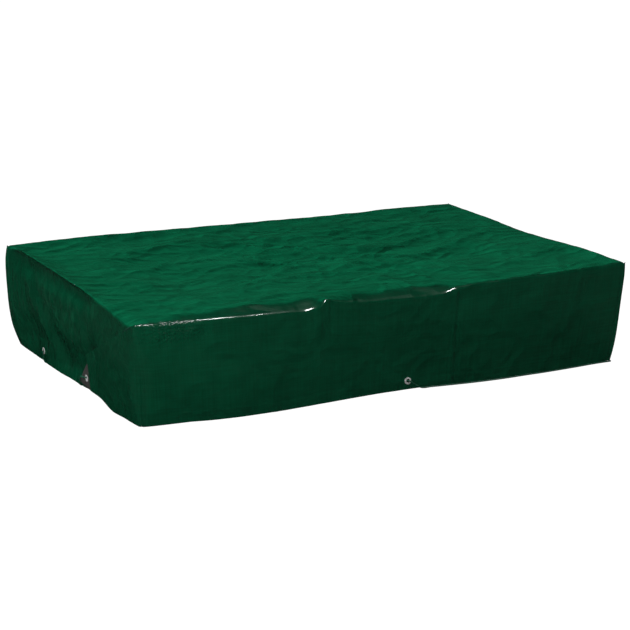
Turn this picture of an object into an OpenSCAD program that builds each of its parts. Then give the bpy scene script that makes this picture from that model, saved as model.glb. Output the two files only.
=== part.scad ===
// Rectangular timber sandbox with a perimeter seat, filled with sand, under a
// loose woven tarpaulin cover. A cord threaded through the cover's eyelets
// gathers its hem. X runs along the length, -Y is the front, +Z is up, and the
// origin is on the ground under the middle of the box. Millimetres.

/* [Timber frame] */
// Length of the plank walls, outside to outside
frame_l = 1310; // [1000:10:1700]
// Width of the plank walls, outside to outside
frame_w = 828; // [640:10:1100]
// Thickness of a wall plank
plank_t = 28; // [22:1:36]
// Height of one plank; the walls are two planks high
plank_h = 125; // [95:1:150]
// Side of a square corner post
post_s = 45; // [38:1:60]
// Width of the cleat that ties the two planks at mid length
cleat_w = 60; // [40:1:90]
// Thickness of the cleat
cleat_t = 20; // [16:1:30]
// Rounding of the long edges of every board
board_r = 3; // [1:0.5:6]

/* [Seat] */
// Width of a seat board
seat_w = 140; // [110:5:170]
// Thickness of a seat board
seat_t = 28; // [22:1:40]
// How far the seat stands out past the plank walls
seat_over = 21; // [15:1:45]

/* [Filling] */
// Thickness of the ground liner
liner_t = 1.5; // [1:0.5:3]
// Depth of the sand
sand_depth = 100; // [40:5:140]

/* [Screws] */
// Diameter of a screw's shank, and of the hole that it fills
screw_d = 5; // [4:0.5:6]
// Diameter of a screw's countersunk head
screw_head_d = 10; // [8:0.5:12]
// How far a wall or seat screw bites into the post
screw_bite = 32; // [20:1:36]

/* [Cover] */
// Thickness of the tarpaulin shell
sheet_t = 2; // [1.5:0.5:3]
// How far the gathered hem leans in from the cover's top edge
hem_lean = 25; // [10:1:40]
// Room between the seat's edge and the hem, for the cover to lift off
hem_gap = 8; // [7.5:0.5:16]
// Room between the seat's top and the cover
rest_gap = 0.3; // [0.2:0.1:0.5]
// Height of the hem above the ground
hem_z = 6; // [5:1:20]
// Room between the skirt and a folded corner ear, for the eyelet and the cord
ear_gap = 7.5; // [7:0.5:12]
// Thickness of a corner reinforcement patch
patch_t = 1; // [0.5:0.5:2]

/* [Eyelets] */
// Diameter of the hole through an eyelet
eyelet_hole_d = 10; // [8:1:12]
// Diameter of the eyelet's flange
eyelet_d = 19.5; // [18:0.5:24]
// Height of a hem eyelet above the hem
eyelet_rise = 26; // [20:1:40]
// Where the long sides' eyelets sit, right of the middle
long_eyelet_x = 60; // [-100:5:100]
// Where the short sides' eyelets sit, behind the middle
short_eyelet_y = 262; // [200:2:300]

/* [Cord] */
// Diameter of the hem cord
cord_d = 4; // [3:0.5:4]

/* [Hidden] */
$fn = 48;

stain = "firebrick";
tarp_green = "darkgreen";

// Places of the frame
half_l = frame_l / 2;
half_w = frame_w / 2;
wall_h = 2 * plank_h;
post_x = half_l - plank_t - post_s / 2;
post_y = half_w - plank_t - post_s / 2;
seat_x = half_l + seat_over;
seat_y = half_w + seat_over;
seat_top = wall_h + seat_t;
sand_top = liner_t + sand_depth;

// Screws
head_h = (screw_head_d - screw_d) / 2;
tip_h = 4;
drive_af = 3;
drive_depth = 1.8;
wall_screw_l = plank_t + screw_bite;
cleat_screw_l = plank_t + cleat_t - 4;
seat_screw_l = seat_t + screw_bite;
face_screw_z = [0.25, 0.75]; // heights of a long plank's screws, as shares of the plank
end_screw_z = [0.4, 0.6];    // heights of a short plank's screws, clear of those above
mitre_screw = 11;            // how far a seat's end screw stands from the mitre line
long_seat_screw_x = [-0.66, -0.3, 0.3, 0.66]; // shares of half the frame's length
short_seat_screw_y = [-0.4, 0.4];             // shares of half the frame's width

// Cover
hem_x = seat_x + hem_gap + sheet_t;
hem_y = seat_y + hem_gap + sheet_t;
edge_x = hem_x + hem_lean;
edge_y = hem_y + hem_lean;
cover_under = seat_top + rest_gap;
cover_top = cover_under + sheet_t;
lean_angle = atan(hem_lean / (cover_top - hem_z));
ear_out = ear_gap + sheet_t;

// A folded ear, as it lies on the skirt: distance from the top corner, and height
ear_fold = [320, 117];
ear_tip = [435, 26];
ear_hem = [352, 20];
corner_eyelet = [366, 50];
patch_edge = [322, 112];

// Eyelets
hem_eyelet_z = hem_z + eyelet_rise;
sheet_wall = sheet_t * cos(lean_angle);
patch_wall = (sheet_t + patch_t) * cos(lean_angle);
barrel_t = 0.8;
flange_t = 1.2;
washer_t = 0.8;
collar_t = 1;
collar_d = 15;
washer_d = eyelet_d - 0.5;
barrel_d = eyelet_hole_d + 2 * barrel_t;

// The hem cord's middle line, from one side of the knot round to the other
cord_route = [
    // along the back, outside, over the ear and in through its eyelet
    [9, 451.5, 9], [1, 451.5, 9], [-20, 448, 6], [-221, 447.5, 5],
    [-275, 459.4, 24], [-339.8, 463.7, 49.5], [-343.4, 460.7, 50],
    [-346.6, 454.7, 50], [-350.2, 451.7, 49.5],
    // under the hem, and inside round the back left corner to the left eyelet
    [-379, 450, 14], [-397, 448.2, 3.4], [-417, 441, 3.4], [-437, 438.6, 9],
    [-673.5, 440.5, 8], [-680, 436.5, 8], [-681.5, 330, 14],
    [-681.6, 267.2, 32], [-684.6, 263.6, 32], [-689.6, 260.4, 32], [-692.6, 256.8, 31],
    // outside along the left hem, over the ear and in through its eyelet
    [-689.3, 190, 14], [-689.1, 110, 13], [-689.6, 30, 19], [-700.4, -34, 27],
    [-704.7, -98.8, 49.5], [-701.7, -102.4, 50], [-695.7, -105.6, 50],
    [-692.7, -109.2, 49.5],
    // under the hem, and inside round the front left corner to the front eyelet
    [-691, -138, 14], [-689.2, -156, 3.4], [-682, -176, 3.4], [-679.6, -196, 9],
    [-680, -436.5, 8], [-673.5, -440.5, 8], [-40, -440.5, 10],
    [54.8, -440.6, 32], [58.4, -443.6, 32], [61.6, -448.6, 32], [65.2, -451.6, 31],
    // outside along the front hem, round the corner and in through the ear
    [100, -448.6, 7], [240, -456, 4], [365, -464, 3.5],
    [500, -456, 4], [650, -448, 5], [691, -448.9, 5], [697, -446.6, 5],
    [699.4, -440, 5], [698, -200, 6], [704.7, -109.2, 49.5],
    [701.7, -105.6, 50], [695.7, -102.4, 50], [692.7, -98.8, 49.5],
    // under the hem, and inside to the right eyelet
    [691, -70, 14], [689.2, -52, 3.4], [682, -32, 3.4], [679.6, -12, 9],
    [681.5, 190, 14], [681.6, 256.8, 32], [684.6, 260.4, 32], [689.6, 263.6, 32],
    [692.6, 267.2, 31],
    // outside round the back right corner and in through the ear
    [688.6, 320, 5], [689.9, 450, 5], [687.6, 456.1, 5], [681, 458.4, 5],
    [441, 457, 6], [350.2, 463.7, 49.5], [346.6, 460.7, 50], [343.4, 454.7, 50],
    [339.8, 451.7, 49.5],
    // under the hem, and inside to the back eyelet and out to the knot
    [311, 450, 14], [293, 448.2, 3.4], [273, 441, 3.4], [253, 438.6, 9],
    [120, 440.5, 15], [65.2, 440.6, 32], [61.6, 443.6, 32], [58.4, 448.6, 32],
    [54.8, 451.6, 31], [29, 451.5, 9], [21, 451.5, 9]
];
cord_sides = 8;
knot_at = [15, 451.5, 9];
knot_l = 12;
knot_d = 11;

// Outline of a board's section, with its four corners rounded
function corner_arc(cx, cy, r, from) =
    [for (a = [0:30:90]) [cx + r * cos(from + a), cy + r * sin(from + a)]];
function board_outline(w, h, r) = concat(
    corner_arc(w - r, h - r, r, 0),
    corner_arc(r, h - r, r, 90),
    corner_arc(r, r, r, 180),
    corner_arc(w - r, r, r, 270)
);

// A board along X, centred on x = 0, from y = 0 to w and z = 0 to h
module board(l, w, h) {
    translate([-l / 2, 0, 0])
        rotate([90, 0, 90])
            linear_extrude(height = l)
                polygon(board_outline(w, h, board_r));
}

// A countersunk screw along -Z from its head's face at z = 0
module screw(l) {
    difference() {
        union() {
            translate([0, 0, -head_h])
                cylinder(h = head_h, d1 = screw_d, d2 = screw_head_d);
            translate([0, 0, tip_h - l])
                cylinder(h = l - tip_h - head_h, d = screw_d);
            translate([0, 0, -l])
                cylinder(h = tip_h, d1 = 1, d2 = screw_d);
        }
        translate([0, 0, -drive_depth])
            cylinder(h = drive_depth + 1, d = drive_af / cos(30), $fn = 6);
    }
}

// The room that the same screw fills
module screw_hole(l) {
    translate([0, 0, -head_h])
        cylinder(h = head_h, d1 = screw_d, d2 = screw_head_d);
    translate([0, 0, -l])
        cylinder(h = l - head_h, d = screw_d);
}

// Puts its children at each screw of one course of planks, pointing inwards
module at_wall_screws(course) {
    z0 = course * plank_h;
    for (sx = [-1, 1], sy = [-1, 1]) {
        for (share = face_screw_z)
            translate([sx * post_x, sy * half_w, z0 + share * plank_h])
                rotate([-sy * 90, 0, 0]) children();
        for (share = end_screw_z)
            translate([sx * half_l, sy * post_y, z0 + share * plank_h])
                rotate([0, sx * 90, 0]) children();
    }
}

module at_cleat_screws() {
    for (course = [0, 1], share = face_screw_z, sy = [-1, 1])
        translate([0, sy * half_w, (course + share) * plank_h])
            rotate([-sy * 90, 0, 0]) children();
}

module at_seat_screws() {
    for (sx = [-1, 1], sy = [-1, 1], side = [-1, 1])
        translate([
            sx * (post_x + side * mitre_screw / sqrt(2)),
            sy * (post_y - side * mitre_screw / sqrt(2)),
            seat_top
        ]) children();
    for (share = long_seat_screw_x, sy = [-1, 1])
        translate([share * half_l, sy * (half_w - plank_t / 2), seat_top]) children();
    for (share = short_seat_screw_y, sx = [-1, 1])
        translate([sx * (half_l - plank_t / 2), share * half_w, seat_top]) children();
}

// All the screws' holes, for the boards to be drilled with
module drilling() {
    for (course = [0, 1]) at_wall_screws(course) screw_hole(wall_screw_l);
    at_cleat_screws() screw_hole(cleat_screw_l);
    at_seat_screws() screw_hole(seat_screw_l);
}

// Long plank of the front (side -1) or back (side 1) wall
module long_plank(side, course) {
    color(stain) difference() {
        translate([0, side > 0 ? half_w - plank_t : -half_w, course * plank_h])
            board(frame_l, plank_t, plank_h);
        drilling();
    }
}

// Short plank of the left (side -1) or right (side 1) wall, between the long ones
module short_plank(side, course) {
    color(stain) difference() {
        translate([side > 0 ? half_l : plank_t - half_l, 0, course * plank_h])
            rotate([0, 0, 90])
                board(frame_w - 2 * plank_t, plank_t, plank_h);
        drilling();
    }
}

module corner_post(sx, sy) {
    color(stain) difference() {
        translate([sx * post_x - post_s / 2, sy * post_y - post_s / 2, 0])
            cube([post_s, post_s, wall_h]);
        drilling();
    }
}

module cleat(side) {
    inner = half_w - plank_t;
    color(stain) difference() {
        translate([-cleat_w / 2, side > 0 ? inner - cleat_t : -inner, 0])
            cube([cleat_w, cleat_t, wall_h]);
        drilling();
    }
}

// A seat board with mitred ends, along X at the front (side -1) or back (side 1)
module long_seat(side) {
    inner_x = seat_x - seat_w;
    inner_y = seat_y - seat_w;
    color(stain) difference() {
        intersection() {
            translate([0, side > 0 ? inner_y : -seat_y, wall_h])
                board(2 * seat_x, seat_w, seat_t);
            translate([0, 0, wall_h - 1])
                linear_extrude(height = seat_t + 2)
                    polygon([
                        [-seat_x, side * seat_y], [seat_x, side * seat_y],
                        [inner_x, side * inner_y], [-inner_x, side * inner_y]
                    ]);
        }
        drilling();
    }
}

module short_seat(side) {
    inner_x = seat_x - seat_w;
    inner_y = seat_y - seat_w;
    color(stain) difference() {
        intersection() {
            translate([side > 0 ? seat_x : -inner_x, 0, wall_h])
                rotate([0, 0, 90])
                    board(2 * seat_y, seat_w, seat_t);
            translate([0, 0, wall_h - 1])
                linear_extrude(height = seat_t + 2)
                    polygon([
                        [side * seat_x, -seat_y], [side * seat_x, seat_y],
                        [side * inner_x, inner_y], [side * inner_x, -inner_y]
                    ]);
        }
        drilling();
    }
}

// The floor inside the walls, with room for the posts and cleats
module pit_floor(height) {
    inner_l = frame_l - 2 * plank_t;
    inner_w = frame_w - 2 * plank_t;
    linear_extrude(height = height) difference() {
        square([inner_l, inner_w], center = true);
        for (sx = [-1, 1], sy = [-1, 1])
            translate([sx * post_x, sy * post_y])
                square(post_s, center = true);
        for (side = [-1, 1])
            translate([0, side * (inner_w / 2 - cleat_t / 2)])
                square([cleat_w, cleat_t], center = true);
    }
}

module ground_liner() {
    color("dimgray") pit_floor(liner_t);
}

module sand_fill() {
    color("burlywood") translate([0, 0, liner_t]) pit_floor(sand_depth);
}

// How far a skirt has leaned in at a height
function lean_at(z) = hem_lean * (cover_top - z) / (cover_top - hem_z);

// A solid between two outlines of as many points, listed anticlockwise from above
// or from outside: first the one underneath, or behind
module between(a, b) {
    n = len(a);
    polyhedron(
        points = concat(a, b),
        faces = concat(
            [[for (k = [0:n - 1]) k]],
            [[for (k = [n - 1:-1:0]) n + k]],
            [for (k = [0:n - 1]) [k, n + k, n + (k + 1) % n, (k + 1) % n]]
        )
    );
}

// The block inside skirts that lean from those half sizes at the cover's top edge
module leaning_block(x, y, z0, z1) {
    function level_at(z) =
        [for (c = [[-1, -1], [1, -1], [1, 1], [-1, 1]])
            [c[0] * (x - lean_at(z)), c[1] * (y - lean_at(z)), z]];
    between(level_at(z0), level_at(z1));
}

// Turns its children's +Z to the outward side of a skirt that faces +Y
module outwards() {
    rotate([-90 - lean_angle, 0, 0]) children();
}

// Puts its children at the four eyelets on the hem, facing outwards along +Z
module at_hem_eyelets() {
    lean = lean_at(hem_eyelet_z);
    for (side = [-1, 1]) {
        translate([long_eyelet_x, side * (edge_y - lean), hem_eyelet_z])
            rotate([0, 0, side > 0 ? 0 : 180]) outwards() children();
        translate([side * (edge_x - lean), short_eyelet_y, hem_eyelet_z])
            rotate([0, 0, -side * 90]) outwards() children();
    }
}

// Puts its children at one corner ear: x along the ear from the top corner,
// y outwards and z up. Front ears lie on the short sides, back ears on the back.
module at_ear(sx, sy) {
    if (sy < 0)
        multmatrix([
            [0, sx, 0, sx * edge_x], [1, 0, 0, -edge_y], [0, 0, 1, 0], [0, 0, 0, 1]
        ]) children();
    else
        multmatrix([
            [-sx, 0, 0, sx * edge_x], [0, 1, 0, edge_y], [0, 0, 1, 0], [0, 0, 0, 1]
        ]) children();
}

// A flat piece of that outline, between two distances outwards from the skirt
module on_skirt(outline, from, to) {
    function placed(out) = [for (p = outline) [p[0], out - lean_at(p[1]), p[1]]];
    between(placed(to), placed(from));
}

// A folded corner: the wrap that leaves the skirt at the corner, and the ear
module ear() {
    function wrap_at(z) = let (d = lean_at(z)) [
        [d, -d - sheet_t, z], [d + sheet_t, -d - sheet_t, z],
        [d + sheet_t, ear_out - d, z], [d, ear_out - d, z]
    ];
    between(wrap_at(hem_z), wrap_at(cover_top));
    on_skirt(
        [[0, cover_top], [hem_lean, hem_z], ear_hem, ear_tip, ear_fold],
        ear_gap, ear_out
    );
}

// The room that an eyelet's barrel fills
module barrel_hole(depth) {
    translate([0, 0, -depth]) cylinder(h = 2 * depth, d = barrel_d);
}

// Puts its children at an ear's eyelet, on the outer face of its patch
module at_ear_eyelet() {
    out = ear_out + patch_t - lean_at(corner_eyelet[1]);
    translate([corner_eyelet[0], out, corner_eyelet[1]]) outwards() children();
}

module cover_sheet() {
    inner_x = edge_x - sheet_t;
    inner_y = edge_y - sheet_t;
    color(tarp_green) difference() {
        union() {
            difference() {
                leaning_block(edge_x, edge_y, hem_z, cover_top);
                leaning_block(inner_x, inner_y, hem_z - 1, cover_under);
            }
            for (sx = [-1, 1], sy = [-1, 1]) at_ear(sx, sy) ear();
        }
        at_hem_eyelets() barrel_hole(2 * sheet_t);
        for (sx = [-1, 1], sy = [-1, 1])
            at_ear(sx, sy) at_ear_eyelet() barrel_hole(patch_t + 1.5 * sheet_t);
    }
}

// The dark triangle that stiffens a corner of the tarpaulin round its eyelet
module corner_patch(sx, sy) {
    color("dimgray") at_ear(sx, sy)
        difference() {
            on_skirt([ear_hem, ear_tip, patch_edge], ear_out, ear_out + patch_t);
            at_ear_eyelet() barrel_hole(2 * patch_t);
        }
}

// A flanged eyelet through a wall of that thickness, whose outer face is z = 0
module eyelet(wall) {
    r_in = eyelet_hole_d / 2;
    color("silver") rotate_extrude()
        polygon([
            [r_in, flange_t], [eyelet_d / 2, flange_t], [eyelet_d / 2, 0],
            [barrel_d / 2, 0], [barrel_d / 2, -wall - washer_t],
            [collar_d / 2, -wall - washer_t], [collar_d / 2, -wall - washer_t - collar_t],
            [r_in, -wall - washer_t - collar_t]
        ]);
}

module washer(wall) {
    color("silver") translate([0, 0, -wall - washer_t])
        difference() {
            cylinder(h = washer_t, d = washer_d);
            translate([0, 0, -1]) cylinder(h = washer_t + 2, d = barrel_d);
        }
}

// Puts its children at the four eyelets through the corner patches
module at_corner_eyelets() {
    for (sx = [-1, 1], sy = [-1, 1])
        at_ear(sx, sy) at_ear_eyelet() children();
}

// A tube swept along points: each ring is square to the line through its
// neighbours, and its first axis is level
function unit(v) = v / norm(v);
function along(p, i) =
    unit(p[min(i + 1, len(p) - 1)] - p[max(i - 1, 0)]);
function level(t) = unit(cross([0, 0, 1], t));
function ring(p, i, r, n) = let (t = along(p, i), a = level(t), b = cross(t, a))
    [for (k = [0:n - 1]) p[i] + r * (a * cos(360 * k / n) + b * sin(360 * k / n))];
function tube_points(p, r, n) =
    [for (i = [0:len(p) - 1]) for (q = ring(p, i, r, n)) q];
function tube_faces(m, n) = concat(
    [[for (k = [0:n - 1]) k]],
    [[for (k = [n - 1:-1:0]) (m - 1) * n + k]],
    [for (i = [0:m - 2], k = [0:n - 1])
        [i * n + k, (i + 1) * n + k, (i + 1) * n + (k + 1) % n, i * n + (k + 1) % n]]
);

module hem_cord() {
    color("seagreen")
        polyhedron(
            points = tube_points(cord_route, cord_d / 2, cord_sides),
            faces = tube_faces(len(cord_route), cord_sides)
        );
}

// The knot that ties the cord's two ends
module cord_knot() {
    color("seagreen")
        translate([knot_at[0] - knot_l / 2, knot_at[1], knot_at[2]])
            rotate([0, 90, 0])
                rotate_extrude()
                    polygon([
                        [0, 0], [cord_d / 2, 0], [knot_d / 2 - 1.5, 1.5],
                        [knot_d / 2, knot_l / 2], [knot_d / 2 - 1.5, knot_l - 1.5],
                        [cord_d / 2, knot_l], [0, knot_l]
                    ]);
}

long_plank(-1, 0);  // plank_front_lower
long_plank(-1, 1);  // plank_front_upper
long_plank(1, 0);  // plank_back_lower
long_plank(1, 1);  // plank_back_upper
short_plank(-1, 0);  // plank_left_lower
short_plank(-1, 1);  // plank_left_upper
short_plank(1, 0);  // plank_right_lower
short_plank(1, 1);  // plank_right_upper
corner_post(-1, -1);  // post_front_left
corner_post(1, -1);  // post_front_right
corner_post(-1, 1);  // post_back_left
corner_post(1, 1);  // post_back_right
cleat(-1);  // cleat_front
cleat(1);  // cleat_back
long_seat(-1);  // seat_front
long_seat(1);  // seat_back
short_seat(-1);  // seat_left
short_seat(1);  // seat_right
color("silver") for (course = [0, 1]) at_wall_screws(course) screw(wall_screw_l);  // plank_screws
color("silver") at_cleat_screws() screw(cleat_screw_l);  // cleat_screws
color("silver") at_seat_screws() screw(seat_screw_l);  // seat_screws
ground_liner();
sand_fill();
cover_sheet();
corner_patch(-1, -1);  // patch_front_left
corner_patch(1, -1);  // patch_front_right
corner_patch(-1, 1);  // patch_back_left
corner_patch(1, 1);  // patch_back_right
at_hem_eyelets() eyelet(sheet_wall);  // hem_eyelets
at_corner_eyelets() eyelet(patch_wall);  // corner_eyelets
at_hem_eyelets() washer(sheet_wall);  // hem_washers
at_corner_eyelets() washer(patch_wall);  // corner_washers
hem_cord();
cord_knot();
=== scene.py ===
import math

import bmesh
import bpy
import numpy as np
from mathutils import Matrix, Vector, noise


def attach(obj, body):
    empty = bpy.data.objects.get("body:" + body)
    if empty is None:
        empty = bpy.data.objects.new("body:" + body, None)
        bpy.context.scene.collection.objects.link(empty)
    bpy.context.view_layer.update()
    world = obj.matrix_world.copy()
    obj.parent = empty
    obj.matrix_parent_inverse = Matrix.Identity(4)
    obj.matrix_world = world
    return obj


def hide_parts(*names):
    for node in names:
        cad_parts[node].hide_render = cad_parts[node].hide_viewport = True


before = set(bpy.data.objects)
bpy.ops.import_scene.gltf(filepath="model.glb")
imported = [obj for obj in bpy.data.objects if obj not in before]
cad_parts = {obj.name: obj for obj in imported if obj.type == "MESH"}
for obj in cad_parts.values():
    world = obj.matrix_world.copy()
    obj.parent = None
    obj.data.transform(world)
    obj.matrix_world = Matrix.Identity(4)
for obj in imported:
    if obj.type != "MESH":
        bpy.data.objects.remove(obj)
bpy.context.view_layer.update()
scene = bpy.context.scene
print("frame loaded")


def smoothStep(low, high, value):
    t = np.clip((np.asarray(value, float) - low) / (high - low), 0, 1)
    return t * t * (3 - 2 * t)


def smoothLine(knots, along):
    # a smooth curve through knots of (place, value)
    xs, ys = np.array(knots, float).T
    slopes = np.gradient(ys, xs)
    along = np.clip(along, xs[0], xs[-1])
    i = np.clip(np.searchsorted(xs, along, side="right") - 1, 0, len(xs) - 2)
    width = xs[i + 1] - xs[i]
    t = (along - xs[i]) / width
    return ((2 * t**3 - 3 * t**2 + 1) * ys[i] + (t**3 - 2 * t**2 + t) * width * slopes[i]
            + (3 * t**2 - 2 * t**3) * ys[i + 1] + (t**3 - t**2) * width * slopes[i + 1])


def cloud(x, y, z=0.0, octaves=3):
    # soft noise from about -1 to 1, the same every run
    total, size, reach = 0.0, 1.0, 0.0
    for turn in range(octaves):
        scale = 2.0**turn
        total += size * noise.noise(Vector((x * scale, y * scale, z * scale + 7.3 * turn)))
        reach += size
        size *= 0.5
    return total / reach * 1.6


def crumple(x, y, z, size):
    # sharp little creases between flat facets, from 0 in a crease to about 1
    warp = 0.35 * size * noise.noise(Vector((x / size, y / size, z / size + 5)))
    spots = noise.voronoi(Vector((x / size + warp, y / size, z / size)))[0]
    return min((spots[1] - spots[0]) * 1.6, 1.0)


def addPiece(name, mesh):
    piece = bpy.data.objects.new(name, mesh)
    scene.collection.objects.link(piece)
    return piece


def addMesh(name, points, faces):
    mesh = bpy.data.meshes.new(name)
    mesh.from_pydata([tuple(p) for p in points], [], [tuple(f) for f in faces])
    mesh.update()
    mesh.polygons.foreach_set("use_smooth", [True] * len(mesh.polygons))
    return addPiece(name, mesh)


def faceOutwards(piece):
    work = bmesh.new()
    work.from_mesh(piece.data)
    bmesh.ops.recalc_face_normals(work, faces=work.faces)
    work.to_mesh(piece.data)
    work.free()


def applyModifiers(piece):
    bpy.context.view_layer.update()
    done = bpy.data.meshes.new_from_object(piece.evaluated_get(bpy.context.evaluated_depsgraph_get()))
    piece.modifiers.clear()
    piece.data = done


def setFinish(piece, *finishes):
    piece.data.materials.clear()
    for finish in finishes:
        piece.data.materials.append(finish)


# short forms for building node trees
def feed(node, given):
    # set each input to a value, or link it to the socket that feeds it
    for key, value in given.items():
        if isinstance(value, bpy.types.NodeSocket):
            node.id_data.links.new(value, node.inputs[key])
        else:
            node.inputs[key].default_value = value


def addNode(nodes, kind, given, **settings):
    node = nodes.new(kind)
    for key, value in settings.items():
        setattr(node, key, value)
    feed(node, given)
    return node


def addMath(nodes, operation, first, second=0.5):
    return addNode(nodes, "ShaderNodeMath", {0: first, 1: second}, operation=operation).outputs[0]


def addRange(nodes, value, fromLow, fromHigh, toLow, toHigh, **settings):
    given = {"Value": value, "From Min": fromLow, "From Max": fromHigh, "To Min": toLow, "To Max": toHigh}
    return addNode(nodes, "ShaderNodeMapRange", given, **settings).outputs["Result"]


def addNoise(nodes, place, scale, detail, roughness=0.5, output="Fac"):
    given = {"Vector": place, "Scale": scale, "Detail": detail, "Roughness": roughness}
    return addNode(nodes, "ShaderNodeTexNoise", given).outputs[output]


def addBump(nodes, height, distance, strength, normal=None):
    given = {"Height": height, "Distance": distance, "Strength": strength}
    if normal is not None:
        given["Normal"] = normal
    return addNode(nodes, "ShaderNodeBump", given).outputs["Normal"]


def addRamp(nodes, factor, stops):
    ramp = addNode(nodes, "ShaderNodeValToRGB", {"Fac": factor})
    band = ramp.color_ramp
    while len(band.elements) < len(stops):
        band.elements.new(0.5)
    for element, (place, colour) in zip(band.elements, stops):
        element.position = place
        element.color = (*colour, 1)
    return ramp.outputs["Color"]


def newFinish(name):
    finish = bpy.data.materials.new(name)
    finish.use_nodes = True
    nodes = finish.node_tree.nodes
    return finish, nodes, nodes["Principled BSDF"]


view = {
    "place": (-2.491, -5.001, 1.528),
    "elevation": 14.2,
    "azimuth": -26.6,
    "lens": 118.86,
    "sensor": 36,
    "farthest": 50,
}


def makeCamera():
    data = bpy.data.cameras.new("camera")
    data.lens = view["lens"]
    data.sensor_width = view["sensor"]
    data.clip_end = view["farthest"]
    camera = addPiece("camera", data)
    camera.location = view["place"]
    camera.rotation_euler = (math.radians(90 - view["elevation"]), 0, math.radians(view["azimuth"]))
    scene.camera = camera


studio = {
    "sky": 0.005,
    "floorHalf": 60,
    "floorShade": (0.36, 0.37, 0.37),    # what the floor gives back to the object
    "floorGlow": 1.10,                   # what is seen of it, like an evenly lit white studio floor
    "floorEven": 0.95,                   # how much of the soft shadow the even light hides
    "floorMirror": 0.01,                 # how much of the floor glossy surfaces see
    "floorRoughness": 0.9,
    "aim": (0, 0, 0.15),
    "shineOnly": ("lampShine",),         # seen in glossy surfaces, the other lamps are not
    "lamps": [
        # name, kind, place it shines from, angle or size, power, colour
        ("sunTop", "SUN", (-0.12, 2.85, 1.35), math.radians(11), 9.8, (1.0, 0.995, 0.98)),
        ("lampLeft", "AREA", (-1.3, -1.9, 0.9), 0.4, 10.2, (0.98, 1.0, 0.99)),
        ("lampSide", "AREA", (-1.7, 0.5, 1.6), 0.3, 10, (1.0, 1.0, 1.0)),
        ("lampEdge", "AREA", (0.40, -1.30, 2.45), 0.36, 13, (1.0, 1.0, 1.0)),
        ("lampShine", "AREA", (0.38, -1.20, 2.45), 0.44, 60, (1.0, 1.0, 1.0)),
    ],
}


def makeLamp(name, kind, place, size, power, colour):
    data = bpy.data.lights.new(name, kind)
    if kind == "SUN":
        data.angle = size
    else:
        data.size = size
    data.energy = power
    data.color = colour
    lamp = addPiece(name, data)
    lamp.location = place
    lamp.rotation_euler = (Vector(studio["aim"]) - Vector(place)).to_track_quat("-Z", "Y").to_euler()
    lamp.visible_camera = False
    lamp.visible_glossy = name in studio["shineOnly"]
    lamp.visible_diffuse = name not in studio["shineOnly"]


def makeFloor():
    half = studio["floorHalf"]
    floor = addMesh("floor", [(-half, -half, 0), (half, -half, 0), (half, half, 0), (-half, half, 0)],
                    [(0, 1, 2, 3)])
    paint, nodes, shader = newFinish("floorPaint")
    seen = nodes.new("ShaderNodeLightPath").outputs
    mirrored = [c * studio["floorMirror"] for c in studio["floorShade"]]
    shade = addNode(nodes, "ShaderNodeMix", {"Factor": seen["Is Glossy Ray"], 6: (*studio["floorShade"], 1),
                                             7: (*mirrored, 1)}, data_type="RGBA")
    feed(shader, {"Base Color": shade.outputs[2], "Roughness": studio["floorRoughness"]})
    glow = addNode(nodes, "ShaderNodeEmission", {"Strength": studio["floorGlow"]})
    share = addMath(nodes, "MULTIPLY", seen["Is Camera Ray"], studio["floorEven"])
    blend = addNode(nodes, "ShaderNodeMixShader", {"Fac": share, 1: shader.outputs[0], 2: glow.outputs[0]})
    feed(nodes["Material Output"], {"Surface": blend.outputs[0]})
    setFinish(floor, paint)


def makeStudio():
    world = bpy.data.worlds.new("studio")
    world.use_nodes = True
    feed(world.node_tree.nodes["Background"], {"Color": (1, 1, 1, 1), "Strength": studio["sky"]})
    scene.world = world
    scene.view_settings.view_transform = "Standard"
    for lamp in studio["lamps"]:
        makeLamp(*lamp)
    makeFloor()


makeCamera()
makeStudio()
print("camera and studio made")


tarpLook = {
    "weave": 0.0034,                   # width of one woven tape pair
    "weaveHigh": 0.0004,
    "hemBand": 0.028,                  # width of the welded hem
    "hemHigh": 0.0009,
    "hemSoft": 0.0012,
    "outerDark": (0.0010, 0.072, 0.031),
    "outerLight": (0.0018, 0.094, 0.041),
    "innerDark": (0.008, 0.050, 0.030),
    "innerLight": (0.014, 0.075, 0.048),
    "threadSpread": (240.0, 5.0),      # how often threads change, across them and along them
    "threadTone": (0.82, 1.18),
    "crumpleStretch": (1.0, 1.15, 1.0),
    "crumpleTurn": 0.25,
    "facets": 19.0,
    "facetHigh": 0.0075,
    "creases": 48.0,
    "creaseHigh": 0.0026,
    "glintCentre": (-0.215, -0.500),   # where the sheet is most creased, with its x squeezed
    "glintSqueeze": 0.35,
    "glintReach": (0.055, 0.008),      # where the hard creases begin and where they are all there
    "glints": 150.0,
    "glintHigh": 0.009,
    "glossHigh": 0.0065,
    "roughness": 0.36,
    "innerRougher": 0.12,
    "specular": 0.04,
    "coat": 0.9,
    "coatRoughness": 0.13,
}


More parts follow.
